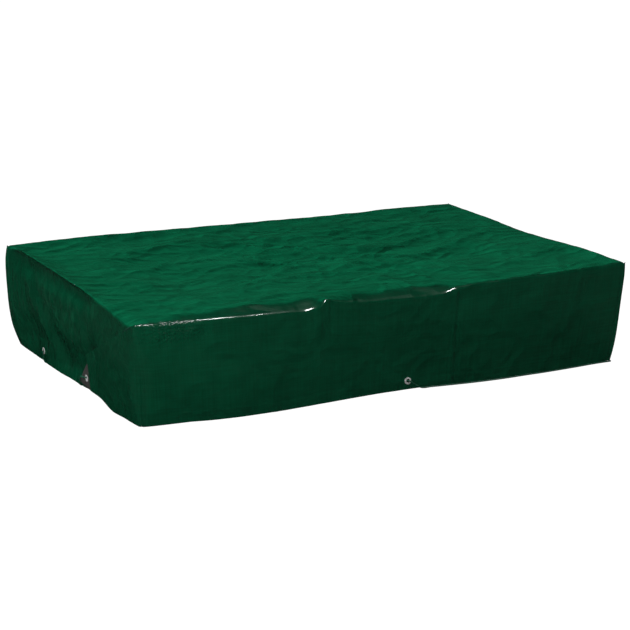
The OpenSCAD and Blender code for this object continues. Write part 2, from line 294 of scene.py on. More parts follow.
def makeTarp(name, dark, light, roughness):
    finish, nodes, shader = newFinish(name)
    flat = addNode(nodes, "ShaderNodeUVMap", {}, uv_map="flat").outputs["UV"]
    split = addNode(nodes, "ShaderNodeSeparateXYZ", {0: flat}).outputs

    # two families of woven tapes, a rounded wave each way across the sheet
    tapes = []
    for axis, phase in (("X", 0.0), ("Y", 0.8)):
        across = addMath(nodes, "MULTIPLY", split[axis], 2 * math.pi / tarpLook["weave"])
        tapes.append(addMath(nodes, "SINE", addMath(nodes, "ADD", across, phase)))
    weave = addMath(nodes, "MULTIPLY", *tapes)

    # cloudy colour, and single threads of the weave that are lighter or darker than the rest
    shade = addRamp(nodes, addNoise(nodes, flat, 5.0, 5.0, 0.6), [(0.32, dark), (0.7, light)])
    across, along = tarpLook["threadSpread"]
    threads = []
    for stretch in ((across, along, 1.0), (along, across, 1.0)):
        streaks = addNode(nodes, "ShaderNodeMapping", {"Vector": flat, "Scale": stretch}).outputs["Vector"]
        threads.append(addNoise(nodes, streaks, 1.0, 3.0, 0.6))
    threadTone = addRange(nodes, addMath(nodes, "ADD", *threads), 0.7, 1.3, *tarpLook["threadTone"])
    toned = addNode(nodes, "ShaderNodeVectorMath", {0: shade, "Scale": threadTone}, operation="SCALE")
    grit = addRange(nodes, addNoise(nodes, flat, 420.0, 2.0), 0, 1, roughness - 0.10, roughness + 0.14)

    # crumple: shallow facets between fine creases, then the weave on top
    turned = {"Vector": flat, "Scale": tarpLook["crumpleStretch"], "Rotation": (0, 0, tarpLook["crumpleTurn"])}
    crumpled = addNode(nodes, "ShaderNodeMapping", turned).outputs["Vector"]
    warp = {"Factor": 0.16, 4: crumpled, 5: addNoise(nodes, crumpled, 7.0, 1.0, output="Color")}
    warped = addNode(nodes, "ShaderNodeMix", warp, data_type="VECTOR").outputs[1]
    spots = {"Vector": warped, "Scale": tarpLook["facets"]}
    facets = addNode(nodes, "ShaderNodeTexVoronoi", spots, feature="F1")
    normal = addBump(nodes, facets.outputs["Distance"], tarpLook["facetHigh"], 0.8)
    creases = addNoise(nodes, crumpled, tarpLook["creases"], 2.0)
    normal = addBump(nodes, creases, tarpLook["creaseHigh"], 0.4, normal)
    normal = addBump(nodes, weave, tarpLook["weaveHigh"], 0.35, normal)

    # harder little creases near the front left corner, which catch the light
    squeeze = {0: flat, 1: (tarpLook["glintSqueeze"], 1, 1)}
    squeezed = addNode(nodes, "ShaderNodeVectorMath", squeeze, operation="MULTIPLY").outputs[0]
    centre = {0: squeezed, 1: (*tarpLook["glintCentre"], 0)}
    away = addNode(nodes, "ShaderNodeVectorMath", centre, operation="DISTANCE").outputs["Value"]
    share = addRange(nodes, away, *tarpLook["glintReach"], 0, 1, interpolation_type="SMOOTHSTEP")
    glints = addNoise(nodes, flat, tarpLook["glints"], 2.0)
    normal = addBump(nodes, glints, tarpLook["glintHigh"], share, normal)

    # the welded hem: a shallow step along the sheet's edge
    edges = [addMath(nodes, "SUBTRACT", cover[size] / 2, addMath(nodes, "ABSOLUTE", split[axis]))
             for axis, size in (("X", "flatLong"), ("Y", "flatShort"))]
    band, soft = tarpLook["hemBand"], tarpLook["hemSoft"]
    step = addRange(nodes, addMath(nodes, "MINIMUM", *edges), band + soft, band - soft, 0, 1,
                    interpolation_type="SMOOTHSTEP")
    feed(shader, {
        "Base Color": toned.outputs[0],
        "Roughness": grit,
        "Normal": addBump(nodes, step, tarpLook["hemHigh"], 0.8, normal),
        "Specular IOR Level": tarpLook["specular"],
        "Coat Normal": addBump(nodes, glints, tarpLook["glossHigh"], share),
        "Coat Weight": tarpLook["coat"],
        "Coat Roughness": tarpLook["coatRoughness"],
    })
    return finish


def makeMetal(name, colour, roughness, scratch):
    finish, nodes, shader = newFinish(name)
    grain = addNoise(nodes, nodes.new("ShaderNodeTexCoord").outputs["Object"], scratch, 4.0)
    feed(shader, {
        "Base Color": addRamp(nodes, grain, [(0.3, tuple(c * 0.82 for c in colour)), (0.7, colour)]),
        "Roughness": addRange(nodes, grain, 0, 1, roughness - 0.08, roughness + 0.12),
        "Normal": addBump(nodes, grain, 0.0003, 0.15),
        "Metallic": 0.05,
    })
    return finish


woodLook = {
    "dark": (0.105, 0.012, 0.008),
    "mid": (0.215, 0.026, 0.016),
    "light": (0.300, 0.050, 0.028),
    "grainAcross": 9.0,
    "grainAlong": 0.55,
    "roughness": 0.55,
}


def makeWood(name, axis, shift):
    # red stained softwood with its grain along one axis
    finish, nodes, shader = newFinish(name)
    stretch = [woodLook["grainAcross"]] * 3
    stretch[axis] = woodLook["grainAlong"]
    moved = {"Vector": nodes.new("ShaderNodeTexCoord").outputs["Object"], "Scale": stretch,
             "Location": (shift, shift * 1.7, shift * 0.6)}
    grain = addNode(nodes, "ShaderNodeMapping", moved).outputs["Vector"]
    bend = {"Factor": 0.22, 4: grain, 5: addNoise(nodes, grain, 1.6, 3.0, output="Color")}
    bent = addNode(nodes, "ShaderNodeMix", bend, data_type="VECTOR").outputs[1]
    rings, pores = addNoise(nodes, bent, 6.5, 6.0, 0.62), addNoise(nodes, grain, 48.0, 3.0)
    both = addNode(nodes, "ShaderNodeMix", {"Factor": 0.28, 2: rings, 3: pores}, data_type="FLOAT").outputs[0]
    feed(shader, {
        "Base Color": addRamp(nodes, both, [(0.33, woodLook["dark"]), (0.5, woodLook["mid"]),
                                            (0.68, woodLook["light"])]),
        "Roughness": addRange(nodes, pores, 0, 1, woodLook["roughness"] - 0.1, woodLook["roughness"] + 0.2),
        "Normal": addBump(nodes, both, 0.0012, 0.4),
    })
    return finish


def makeSpeckled(name, stops, scale, detail, noiseRoughness, roughness, bumpSize, bumpStrength):
    # cloth, cord or sand, spotted with the colours of its stops
    finish, nodes, shader = newFinish(name)
    place = nodes.new("ShaderNodeTexCoord").outputs["Object"]
    grains = addNoise(nodes, place, scale, detail, noiseRoughness)
    feed(shader, {
        "Base Color": addRamp(nodes, grains, stops),
        "Roughness": roughness,
        "Normal": addBump(nodes, grains, bumpSize, bumpStrength),
    })
    return finish


cord = {
    "diameter": 0.004,
    "length": 4.73,
    "strands": 3,
    "pitch": 0.017,        # length of one full twist
    "ringStep": 0.0022,
    "ringPoints": 12,
    "tones": [(0.3, (0.006, 0.075, 0.040)), (0.75, (0.02, 0.17, 0.095))],
    "groundClear": 0.0022,   # its middle line stays at least this far above the ground
    "lobeShare": 0.22,       # how much of its radius the strands' lobes make up
}
cordRoute = [
    # along the back, outside, over the ear and in through its eyelet
    (0.009, 0.4515, 0.009), (0.001, 0.4515, 0.009), (-0.020, 0.448, 0.006), (-0.221, 0.4475, 0.005),
    (-0.275, 0.4594, 0.024), (-0.3398, 0.4637, 0.0495), (-0.3434, 0.4607, 0.050),
    (-0.3466, 0.4547, 0.050), (-0.3502, 0.4517, 0.0495),
    # under the hem, and inside round the back left corner to the left eyelet
    (-0.379, 0.450, 0.014), (-0.397, 0.4482, 0.0034), (-0.417, 0.441, 0.0034), (-0.437, 0.4386, 0.009),
    (-0.6735, 0.4405, 0.008), (-0.680, 0.4365, 0.008), (-0.6815, 0.330, 0.014),
    (-0.6816, 0.2672, 0.032), (-0.6846, 0.2636, 0.032), (-0.6896, 0.2604, 0.032), (-0.6926, 0.2568, 0.031),
    # outside along the left hem, over the ear and in through its eyelet
    (-0.6912, 0.2470, 0.0050), (-0.6845, 0.2290, 0.0045), (-0.6830, 0.190, 0.0070), (-0.6830, 0.110, 0.0080),
    (-0.6840, 0.030, 0.0085), (-0.6880, -0.030, 0.0095), (-0.6960, -0.042, 0.0190), (-0.7010, -0.055, 0.0350),
    (-0.7040, -0.073, 0.0460),
    (-0.7047, -0.0988, 0.0495), (-0.7017, -0.1024, 0.050), (-0.6957, -0.1056, 0.050),
    (-0.6927, -0.1092, 0.0495),
    # under the hem, and inside round the front left corner to the front eyelet
    (-0.691, -0.132, 0.032), (-0.6895, -0.152, 0.0235), (-0.682, -0.176, 0.0215), (-0.6796, -0.205, 0.015),
    (-0.680, -0.4365, 0.008), (-0.6735, -0.4405, 0.008), (-0.040, -0.4405, 0.010),
    (0.0548, -0.4406, 0.032), (0.0584, -0.4436, 0.032), (0.0616, -0.4486, 0.032), (0.0652, -0.4516, 0.031),
    # outside along the front hem, round the corner and in through the ear
    (0.100, -0.4492, 0.0092), (0.130, -0.4496, 0.0078), (0.240, -0.4550, 0.0054), (0.300, -0.4588, 0.0054),
    (0.350, -0.4622, 0.0062), (0.420, -0.4602, 0.0062), (0.470, -0.4572, 0.0054), (0.580, -0.4502, 0.0052),
    (0.640, -0.4480, 0.0062), (0.678, -0.4480, 0.0066), (0.688, -0.4480, 0.0066), (0.695, -0.4466, 0.0064),
    (0.6994, -0.440, 0.005), (0.698, -0.200, 0.006), (0.7047, -0.1092, 0.0495),
    (0.7017, -0.1056, 0.050), (0.6957, -0.1024, 0.050), (0.6927, -0.0988, 0.0495),
    # under the hem, and inside to the right eyelet
    (0.691, -0.070, 0.014), (0.6892, -0.052, 0.0034), (0.682, -0.032, 0.0034), (0.6796, -0.012, 0.009),
    (0.6815, 0.190, 0.014), (0.6816, 0.2568, 0.032), (0.6846, 0.2604, 0.032), (0.6896, 0.2636, 0.032),
    (0.6926, 0.2672, 0.031),
    # outside round the back right corner and in through the ear
    (0.6886, 0.320, 0.005), (0.6899, 0.450, 0.005), (0.6876, 0.4561, 0.005), (0.681, 0.4584, 0.005),
    (0.441, 0.457, 0.006), (0.3502, 0.4637, 0.0495), (0.3466, 0.4607, 0.050), (0.3434, 0.4547, 0.050),
    (0.3398, 0.4517, 0.0495),
    # under the hem, and inside to the back eyelet and out to the knot
    (0.311, 0.450, 0.014), (0.293, 0.4482, 0.0034), (0.273, 0.441, 0.0034), (0.253, 0.4386, 0.009),
    (0.120, 0.4405, 0.015), (0.0652, 0.4406, 0.032), (0.0616, 0.4436, 0.032), (0.0584, 0.4486, 0.032),
    (0.0548, 0.4516, 0.031), (0.029, 0.4515, 0.009), (0.021, 0.4515, 0.009),
]


def smoothPath(points, step):
    # a rounded line through the points, cut into even steps
    points = np.array(points, float)
    ends = np.vstack([2 * points[0] - points[1], points, 2 * points[-1] - points[-2]])
    line = []
    for i in range(1, len(ends) - 2):
        a, b, c, d = ends[i - 1], ends[i], ends[i + 1], ends[i + 2]
        t0 = 0.0
        t1 = max(np.linalg.norm(b - a), 1e-6) ** 0.5
        t2 = t1 + max(np.linalg.norm(c - b), 1e-6) ** 0.5
        t3 = t2 + max(np.linalg.norm(d - c), 1e-6) ** 0.5
        for t in np.linspace(t1, t2, max(4, int(np.linalg.norm(c - b) / step)), endpoint=False):
            e = (t1 - t) / (t1 - t0) * a + (t - t0) / (t1 - t0) * b
            f = (t2 - t) / (t2 - t1) * b + (t - t1) / (t2 - t1) * c
            g = (t3 - t) / (t3 - t2) * c + (t - t2) / (t3 - t2) * d
            h = (t2 - t) / (t2 - t0) * e + (t - t0) / (t2 - t0) * f
            k = (t3 - t) / (t3 - t1) * f + (t - t1) / (t3 - t1) * g
            line.append((t2 - t) / (t2 - t1) * h + (t - t1) / (t2 - t1) * k)
    line.append(points[-1])
    line = np.array(line)
    line[:, 2] = np.maximum(line[:, 2], cord["groundClear"])
    run = np.concatenate([[0], np.cumsum(np.linalg.norm(np.diff(line, axis=0), axis=1))])
    places = np.linspace(0, run[-1], int(round(run[-1] / step)) + 1)
    return np.column_stack([np.interp(places, run, line[:, k]) for k in range(3)]), run[-1]


def ringFaces(rows, sides):
    # the faces between rings of points, each ring with the same number of sides
    return [(r * sides + k, r * sides + (k + 1) % sides, (r + 1) * sides + (k + 1) % sides, (r + 1) * sides + k)
            for r in range(rows) for k in range(sides)]


def sweepStrands(name, path, diameter):
    # a twisted cord: the section has one lobe for each strand and turns as it goes
    count, sides = len(path), cord["ringPoints"]
    tangents = np.gradient(path, axis=0)
    tangents /= np.linalg.norm(tangents, axis=1)[:, None]
    side = np.cross(tangents[0], (0, 0, 1))
    if np.linalg.norm(side) < 1e-3:
        side = np.cross(tangents[0], (0, 1, 0))
    side /= np.linalg.norm(side)
    points, run = [], 0.0
    for i in range(count):
        side = side - tangents[i] * (side @ tangents[i])
        side /= np.linalg.norm(side)
        up = np.cross(tangents[i], side)
        if i:
            run += np.linalg.norm(path[i] - path[i - 1])
        twist = 2 * math.pi * run / cord["pitch"]
        for k in range(sides):
            angle = 2 * math.pi * k / sides
            lobe = abs(math.cos(cord["strands"] * (angle - twist) / 2))
            radius = diameter / 2 * (1 - cord["lobeShare"] + cord["lobeShare"] * lobe)
            points.append(path[i] + radius * (math.cos(angle) * side + math.sin(angle) * up))
    faces = ringFaces(count - 1, sides)
    faces.append(tuple(reversed(range(sides))))
    faces.append(tuple((count - 1) * sides + k for k in range(sides)))
    return addMesh(name, points, faces)


knot = {
    "centre": (0.015, 0.4515, 0.009),
    "reach": 0.0036,       # half the width of the knot's own loops, at the cord's middle line
    "tail": 0.022,
}


def makeKnot(finish):
    # a tight overhand knot of the same cord, with two short tails
    turns = np.linspace(0, 2 * math.pi, 90)
    loops = np.column_stack([
        (np.sin(3 * turns)) * 0.9,
        (np.sin(turns) + 2 * np.sin(2 * turns)) / 2.6,
        (np.cos(turns) - 2 * np.cos(2 * turns)) / 2.6,
    ]) * knot["reach"] + np.array(knot["centre"])
    body = sweepStrands("knotLoops", loops, cord["diameter"])
    tails = []
    for sign in (-1, 1):
        start = np.array(knot["centre"]) + (sign * 0.003, 0.001, -0.001)
        bend = [start, start + (sign * 0.006, 0.004, -0.002), start + (sign * 0.013, 0.007, -0.0045),
                start + (sign * knot["tail"], 0.009, -0.0055)]
        path, _ = smoothPath(bend, cord["ringStep"])
        tails.append(sweepStrands("knotTail", path, cord["diameter"] * 0.97))
    return joinPieces("cordKnot", [body] + tails, finish)


def joinPieces(name, parts, finish):
    whole = bmesh.new()
    for part in parts:
        whole.from_mesh(part.data)
        bpy.data.objects.remove(part)
    mesh = bpy.data.meshes.new(name)
    whole.to_mesh(mesh)
    whole.free()
    piece = addPiece(name, mesh)
    setFinish(piece, finish)
    return piece


cordPath, cordLength = smoothPath(cordRoute, cord["ringStep"])
cordFinish = makeSpeckled("cordFibre", cord["tones"], 900.0, 3.0, 0.5, 0.5, 0.0004, 0.5)
hemCord = sweepStrands("hemCord", cordPath, cord["diameter"])
setFinish(hemCord, cordFinish)
cordKnot = makeKnot(cordFinish)
print("cord made, metres:", round(float(cordLength), 3))


# the cover: one flat sheet, laid over the seat, its four corners folded flat round the ends
cover = {
    "flatLong": 2.0,
    "flatShort": 1.5,
    "topX": 0.715,           # half sizes of the top's outline
    "topY": 0.4725,
    "leanX": 0.0290,         # how far the hem stands inside that outline
    "leanY": 0.0265,
    "leanHigh": 0.280,
    "leanLow": 0.006,
    "restHeight": 0.2806,    # the cloth where it lies on the seat
    "seatSkin": 0.2788,      # nothing over the seat goes below this
    "seatHalf": (0.680, 0.439),
    "pitHalf": (0.536, 0.295),
    "pitSag": 0.007,
    "thickness": 0.00055,
    "edgeRadius": 0.009,
    "step": 0.0095,
    "rows": 27,
    "ripple": 0.0042,        # heights of the top's ripples, swells, sharp folds, puckers and crumples
    "swell": 0.0040,
    "sharpFold": 0.0100,
    "pucker": 0.0034,
    "topCrumple": 0.0011,
    "creasesAcross": [(-0.48, 0.0011), (-0.245, 0.0009), (0.0, 0.0013), (0.25, 0.0010), (0.49, 0.0011)],
    "creasesAlong": [(-0.19, 0.0010), (0.19, 0.0011)],
    "creaseWidth": 0.007,
    "sideWave": 0.0030,      # how far the sides' waves, ripples and crumples stand out
    "sideRipple": 0.0024,
    "sideCrumple": 0.0026,
    "leftCrumple": 0.0042,
    # heights of the top's four edges, from the left or the front corner on
    "edgeHeights": {
        "front": [(-0.715, 0.276), (-0.66, 0.274), (-0.51, 0.27), (-0.3, 0.265), (-0.235, 0.264),
                  (-0.212, 0.272), (-0.198, 0.282), (-0.187, 0.284), (-0.165, 0.279), (-0.08, 0.269),
                  (0.05, 0.265), (0.165, 0.268), (0.188, 0.275), (0.2, 0.276), (0.4, 0.281), (0.6, 0.285),
                  (0.715, 0.288)],
        "right": [(-0.4725, 0.288), (-0.2525, 0.289), (-0.0995, 0.282), (0.0615, 0.278), (0.1725, 0.282),
                  (0.4725, 0.284)],
        "back": [(-0.715, 0.29), (-0.557, 0.295), (-0.436, 0.295), (-0.283, 0.293), (0.035, 0.289),
                 (0.369, 0.286), (0.541, 0.288), (0.715, 0.284)],
        "left": [(-0.4725, 0.276), (-0.4445, 0.272), (-0.3585, 0.276), (-0.2565, 0.284), (-0.1145, 0.292),
                 (0.0345, 0.295), (0.1915, 0.298), (0.3565, 0.298), (0.4725, 0.29)],
    },
    # the hem along each side: how far inside the top's outline, and how high
    "hemInset": {
        "front": [(-0.715, 0.0262), (-0.6, 0.0235), (-0.5, 0.018), (-0.34, 0.0145), (-0.18, 0.0205),
                  (-0.02, 0.0258), (0.06, 0.0258), (0.12, 0.0262), (0.24, 0.0195), (0.365, 0.0115),
                  (0.5, 0.0195), (0.62, 0.0262), (0.715, 0.0265)],
        "right": [(-0.4725, 0.029), (-0.05, 0.029), (0.1, 0.0282), (0.3, 0.0292), (0.4725, 0.029)],
        "back": [(-0.715, 0.0265), (-0.45, 0.0258), (-0.22, 0.028), (-0.05, 0.0272), (0.06, 0.0262),
                 (0.25, 0.0268), (0.5, 0.0262), (0.715, 0.0265)],
        "left": [(-0.4725, 0.029), (-0.2, 0.025), (-0.05, 0.0215), (0.07, 0.021), (0.2, 0.0215),
                 (0.34, 0.0275), (0.4725, 0.029)],
    },
    "hemHeight": {
        "front": [(-0.715, 0.009), (-0.6, 0.008), (-0.5, 0.0035), (-0.34, 0.0025), (-0.18, 0.005),
                  (-0.02, 0.008), (0.06, 0.0082), (0.12, 0.0085), (0.24, 0.0062), (0.3, 0.0062),
                  (0.35, 0.0075), (0.42, 0.0078), (0.47, 0.0065), (0.58, 0.006), (0.64, 0.0075),
                  (0.715, 0.009)],
        "right": [(-0.4725, 0.009), (-0.34, 0.0045), (-0.2, 0.0065), (-0.05, 0.01), (0.1, 0.006),
                  (0.26, 0.007), (0.38, 0.004), (0.4725, 0.009)],
        "back": [(-0.715, 0.009), (-0.58, 0.0045), (-0.4, 0.006), (-0.22, 0.0085), (-0.05, 0.006),
                 (0.06, 0.0075), (0.25, 0.0085), (0.5, 0.005), (0.715, 0.009)],
        "left": [(-0.4725, 0.009), (-0.42, 0.009), (-0.35, 0.008), (-0.26, 0.016), (-0.2, 0.026),
                 (-0.15, 0.0275), (-0.115, 0.019), (-0.04, 0.013), (0.05, 0.01), (0.195, 0.0052),
                 (0.378, 0.0035), (0.4725, 0.009)],
    },
    # folds left from storage and from the seat: place, height, half width, how far down they reach
    "frontFolds": [(-0.209, 0.0075, 0.019, 0.75), (-0.176, -0.006, 0.011, 0.42), (0.188, 0.003, 0.01, 1.6),
                   (0.203, -0.0014, 0.012, 1.6), (-0.611, 0.0022, 0.008, 1.3), (-0.343, 0.0016, 0.007, 1.4),
                   (-0.078, 0.0018, 0.007, 1.4), (0.457, 0.002, 0.008, 1.6), (0.565, 0.0016, 0.007, 1.6)],
    # how far the left side stands out on its way down, and by how much that is made larger
    "leftProfile": [(0, 0), (0.035, -0.0042), (0.075, -0.0064), (0.12, -0.0052), (0.2, -0.0008),
                    (0.32, 0.0014), (0.5, 0.0024), (0.6, 0.0012), (0.7, -0.0034), (0.84, -0.0054),
                    (0.94, -0.0022), (1.0, 0)],
    "leftStrength": 1.75,
    "foldHollow": 0.0105,    # depth and width of the hollow along the left corner's fold
    "hollowWidth": 0.030,
    # how the upright corners are rounded on their way down: share of the drop, radius
    "cornerRounding": [(0, 0.004), (0.1, 0.012), (0.25, 0.034), (0.45, 0.05), (0.65, 0.046), (0.85, 0.03),
                       (1.0, 0.016)],
    "cornerShare": {(-1, -1): 1.0, (-1, 1): 0.28, (1, -1): 0.28, (1, 1): 0.28},
    # cloth pushed out at two corners: how far, and how it comes and goes down the corner
    "cornerSwell": {(-1, 1): 0.021, (1, -1): 0.0092},
    "swellTowards": (0.894, 0.448),
    "swellShape": [(0, 0), (0.12, 0.42), (0.35, 0.84), (0.58, 1.04), (0.78, 0.98), (0.92, 0.66),
                   (1.0, 0.36)],
    "swellReach": 0.17,
    "hemEyelets": {"front": 0.060, "back": 0.060, "left": 0.262, "right": 0.262},
    "hemEyeletHeight": 0.032,
    "eyeletOpening": 0.0082,
    "cadLean": (0.711, 0.470, 0.025, 0.2803, 0.006),     # the CAD side: half sizes at its top, lean, top, hem
}

# a folded corner as it lies on the side beside it: distance from the corner, height
ear = {
    "hem": [(0.025, 0.009), (0.07, 0.007), (0.121, 0.006), (0.211, 0.004), (0.273, 0.018), (0.342, 0.021)],
    "foldEnd": (0.340, 0.120),
    "tuckEnd": (0.095, 0.003),       # where the tucked layer's hem meets the corner again
    "straighten": 0.35,              # past this the side's own hem hangs straight below its edge
    "standOff": 0.0028,
    "spread": 0.0275,                # the ear stands further off the farther it is from the corner
}


def placesAlong(half, step, fineSpots):
    # sample places from -half to half, closer together at the ends and at the fine spots
    at = -half
    places = [at]
    while at < half:
        near = half - abs(at)
        gap = min(step, 0.0016 + near * 0.42)
        for spot, reach, fine in fineSpots:
            if abs(at - spot) < reach:
                gap = min(gap, fine)
        at += gap
        places.append(at)
    places = np.array(places)
    return -half + (places + half) * (2 * half / (places[-1] + half))


columnsX = placesAlong(cover["topX"], cover["step"], [(-0.200, 0.036, 0.0036), (0.194, 0.022, 0.004)])
columnsY = placesAlong(cover["topY"], cover["step"], [])


def topShape(x, y):
    # height of the cloth over one point of the top, with its ripples and its sag over the pit
    inX, inY = cover["topX"] - abs(x), cover["topY"] - abs(y)
    pitX, pitY = cover["pitHalf"]
    overPit = float(smoothStep(0, 0.11, pitX - abs(x)) * smoothStep(0, 0.11, pitY - abs(y)))
    height = cover["restHeight"] - cover["pitSag"] * overPit
    calm = float(smoothStep(0, 0.05, min(inX, inY)))
    bend = cloud(x * 1.7, y * 1.7, 3.0, 2)
    ripple = cloud(x * 4.6 + 0.8 * bend, y * 10.5 + 1.6 * bend, 1.0, 3)
    swell = cloud(x * 2.1, y * 4.4, 9.0, 2)
    sharp = (1 - abs(cloud(x * 2.9 + 1.7 + bend, y * 6.4 + 1.4 * bend, 4.0, 2))) ** 4
    height += calm * (cover["ripple"] * ripple + cover["swell"] * swell * (0.4 + overPit)
                      + cover["sharpFold"] * (sharp - 0.3) * (0.5 + 0.5 * overPit))
    # puckers that run in from the front edge
    toFront = max(0.0, 1 - inY / 0.16) if y < 0 else 0.0
    height += cover["pucker"] * toFront * calm * cloud(x * 13 + 5 * y, y * 6, 6.0, 2)
    # creases kept from folding
    for at, creases in ((x, "creasesAcross"), (y, "creasesAlong")):
        for crease, lift in cover[creases]:
            height += lift * math.exp(-abs(at - crease) / cover["creaseWidth"]) * calm
    height += calm * cover["topCrumple"] * (crumple(x, y * 1.5, 0.0, 0.052) - 0.5)
    # over the seat the cloth doesn't sink in
    skin = cover["seatSkin"]
    overSeat = abs(x) < cover["seatHalf"][0] and abs(y) < cover["seatHalf"][1] and overPit < 0.02
    if overSeat and height < skin + 0.0005:
        height = max(height, skin + 0.25 * max(height - skin + 0.0015, 0))
    return height


def edgeAt(side, along):
    # height of a top edge, with its own small buckles
    base = float(smoothLine(cover["edgeHeights"][side], along))
    half = halfLength(side)
    calm = float(smoothStep(0, 0.05, min(abs(along + half), abs(half - along))))
    size = 0.0011 if side == "front" else 0.0015
    return base + calm * size * cloud(along * 16, 2.0 * len(side), 2.0, 3)


def halfLength(side):
    return cover["topX"] if side in ("front", "back") else cover["topY"]


def topPoint(x, y):
    inX, inY = cover["topX"] - abs(x), cover["topY"] - abs(y)
    height = topShape(x, y)
    pull, weight = 0.0, 0.0
    for side, near, along in (("front" if y < 0 else "back", inY, x), ("left" if x < 0 else "right", inX, y)):
        lift = edgeAt(side, along) - height
        reach = 0.036 if lift < 0 else 0.075 + 0.03 * cloud(along * 9, 4.0 + len(side), 0, 1)
        share = float(1 - smoothStep(0, reach, near)) if lift < 0 else max(0.0, 1 - near / reach) ** 1.6
        pull += lift * share
        weight += share
    height += pull / max(1.0, weight)
    radius = cover["edgeRadius"]
    place = []
    for value, near, half in ((x, inX, cover["topX"]), (y, inY, cover["topY"])):
        turn = math.pi / 4 * max(0.0, 1 - near / radius)
        if turn > 0:
            value = math.copysign(half - radius + radius * math.sin(turn), value)
            height -= radius * (1 - math.cos(turn))
        place.append(value)
    return (place[0], place[1], height)


def leanPlane(side, height):
    # how far inside the top's outline an even, straight side would be
    depth = cover["leanX"] if side in ("left", "right") else cover["leanY"]
    return depth * (cover["leanHigh"] - height) / (cover["leanHigh"] - cover["leanLow"])


def placeOnSide(side, along, inset, height):
    # a point beside the box: its place along the side as x or y, its distance inside the outline, its height
    if side == "front":
        return np.array([along, -cover["topY"] + inset, height])
    if side == "back":
        return np.array([along, cover["topY"] - inset, height])
    if side == "left":
        return np.array([-cover["topX"] + inset, along, height])
    return np.array([cover["topX"] - inset, along, height])


def sideBulge(side, along, drop):
    # how far one point of a side stands out from the straight line down; drop is 0 at the top and 1 at the hem
    half = halfLength(side)
    ends = float(smoothStep(0, 0.06, half - abs(along)))
    grow = float(smoothStep(0.0, 0.35, drop)) * (1 - 0.80 * float(smoothStep(0.72, 0.98, drop)))
    bulge = cover["sideWave"] * grow * cloud(along * 4.5, drop * 2.2, 11 + len(side), 2)
    bulge += cover["sideRipple"] * grow * cloud(along * 12, drop * 5 + along * 2, 17 + len(side), 3)
    size = cover["leftCrumple"] if side == "left" else cover["sideCrumple"]
    creased = crumple(along * 1.2 + 0.1 * len(side), drop * 0.26, 2.0 + len(side), 0.048) - 0.5
    hemward = 1 - 0.75 * float(smoothStep(0.8, 1.0, drop))
    bulge += size * creased * float(smoothStep(0.03, 0.2, drop)) * hemward
    if side == "front":
        for place, lift, width, reach in cover["frontFolds"]:
            shape = max(0.0, 1 - abs(along - place - 0.004 * drop) / width)
            fade = max(0.0, 1 - drop / reach) if reach < 1 else 1.0
            bulge += lift * shape * fade * float(smoothStep(0, 0.03, drop))
    if side == "left":
        # the cloth tucks in below its edge, swells out in the middle, and tucks in again above the hem
        reach = float(smoothStep(-0.42, -0.30, along) * (1 - smoothStep(0.36, 0.46, along)))
        profile = float(smoothLine(cover["leftProfile"], drop))
        bulge += cover["leftStrength"] * reach * profile * (1 + 0.35 * cloud(along * 5, drop, 40, 2))
        # a hollow beside the folded corner, along its upper edge
        fromCorner = along + half
        (foldReach, foldHeight), high = ear["foldEnd"], 0.27
        above = (1 - drop) * high - (high - (high - foldHeight) * fromCorner / foldReach)
        beside = smoothStep(0.03, 0.12, fromCorner) * (1 - smoothStep(foldReach, foldReach + 0.08, fromCorner))
        deep = math.exp(-max(above, 0.0) / cover["hollowWidth"]) * float(smoothStep(-0.06, -0.02, above))
        bulge -= cover["foldHollow"] * float(beside) * deep
        # upright wrinkles above the hem, and a slack fold that runs down from the back corner
        low = float(smoothStep(0.45, 0.68, drop)) * (1 - float(smoothStep(0.93, 1.0, drop)))
        middle = float(smoothStep(-0.14, -0.02, along) * (1 - smoothStep(0.17, 0.25, along)))
        bulge += 0.0022 * low * middle * math.sin(along * 300 + 3 * cloud(along * 9, drop * 4, 8, 2))
        slack = along - 0.40 + 0.30 * drop
        bulge += 0.0042 * math.exp(-(slack / 0.035) ** 2) * grow
        bulge -= 0.0050 * math.exp(-((slack + 0.075) / 0.045) ** 2) * grow
        tall = float(smoothStep(0.05, 0.2, drop) * (1 - smoothStep(0.6, 0.95, drop)))
        bulge += 0.0024 * tall * float(smoothStep(0.30, 0.36, along)) * math.sin(along * 230 + 2 * drop)
    if side in ("right", "back"):
        bulge += 0.0026 * grow * math.sin(along * 23 + 1.5 * cloud(along * 5, drop * 2, 3, 2))
    # under a folded corner the cloth lies close
    fromEar = {"left": along + half, "right": along + half, "back": half - abs(along)}.get(side, half)
    free = float(smoothStep(0.24, 0.38, fromEar))
    return bulge * (0.15 + 0.85 * ends) * (0.12 + 0.88 * free)


def besideEyelet(side, along, height, inset):
    # the cloth lies flat round the eyelets in the hem
    away = math.hypot(along - cover["hemEyelets"][side], height - cover["hemEyeletHeight"])
    flat = 1 - float(smoothStep(0.016, 0.050, away))
    seatOf = cadHemInset(side, height)
    return inset * (1 - flat) + seatOf * flat


def cadHemInset(side, height):
    # the CAD sheet's outer face, measured from this cover's outline
    halfX, halfY, lean, top, low = cover["cadLean"]
    outline = cover["topX"] - halfX if side in ("left", "right") else cover["topY"] - halfY
    return outline + lean * (top - height) / (top - low)


dropShares = np.concatenate([[0, 0.006, 0.013, 0.021, 0.034, 0.056], np.linspace(0.088, 1, cover["rows"] - 6)])


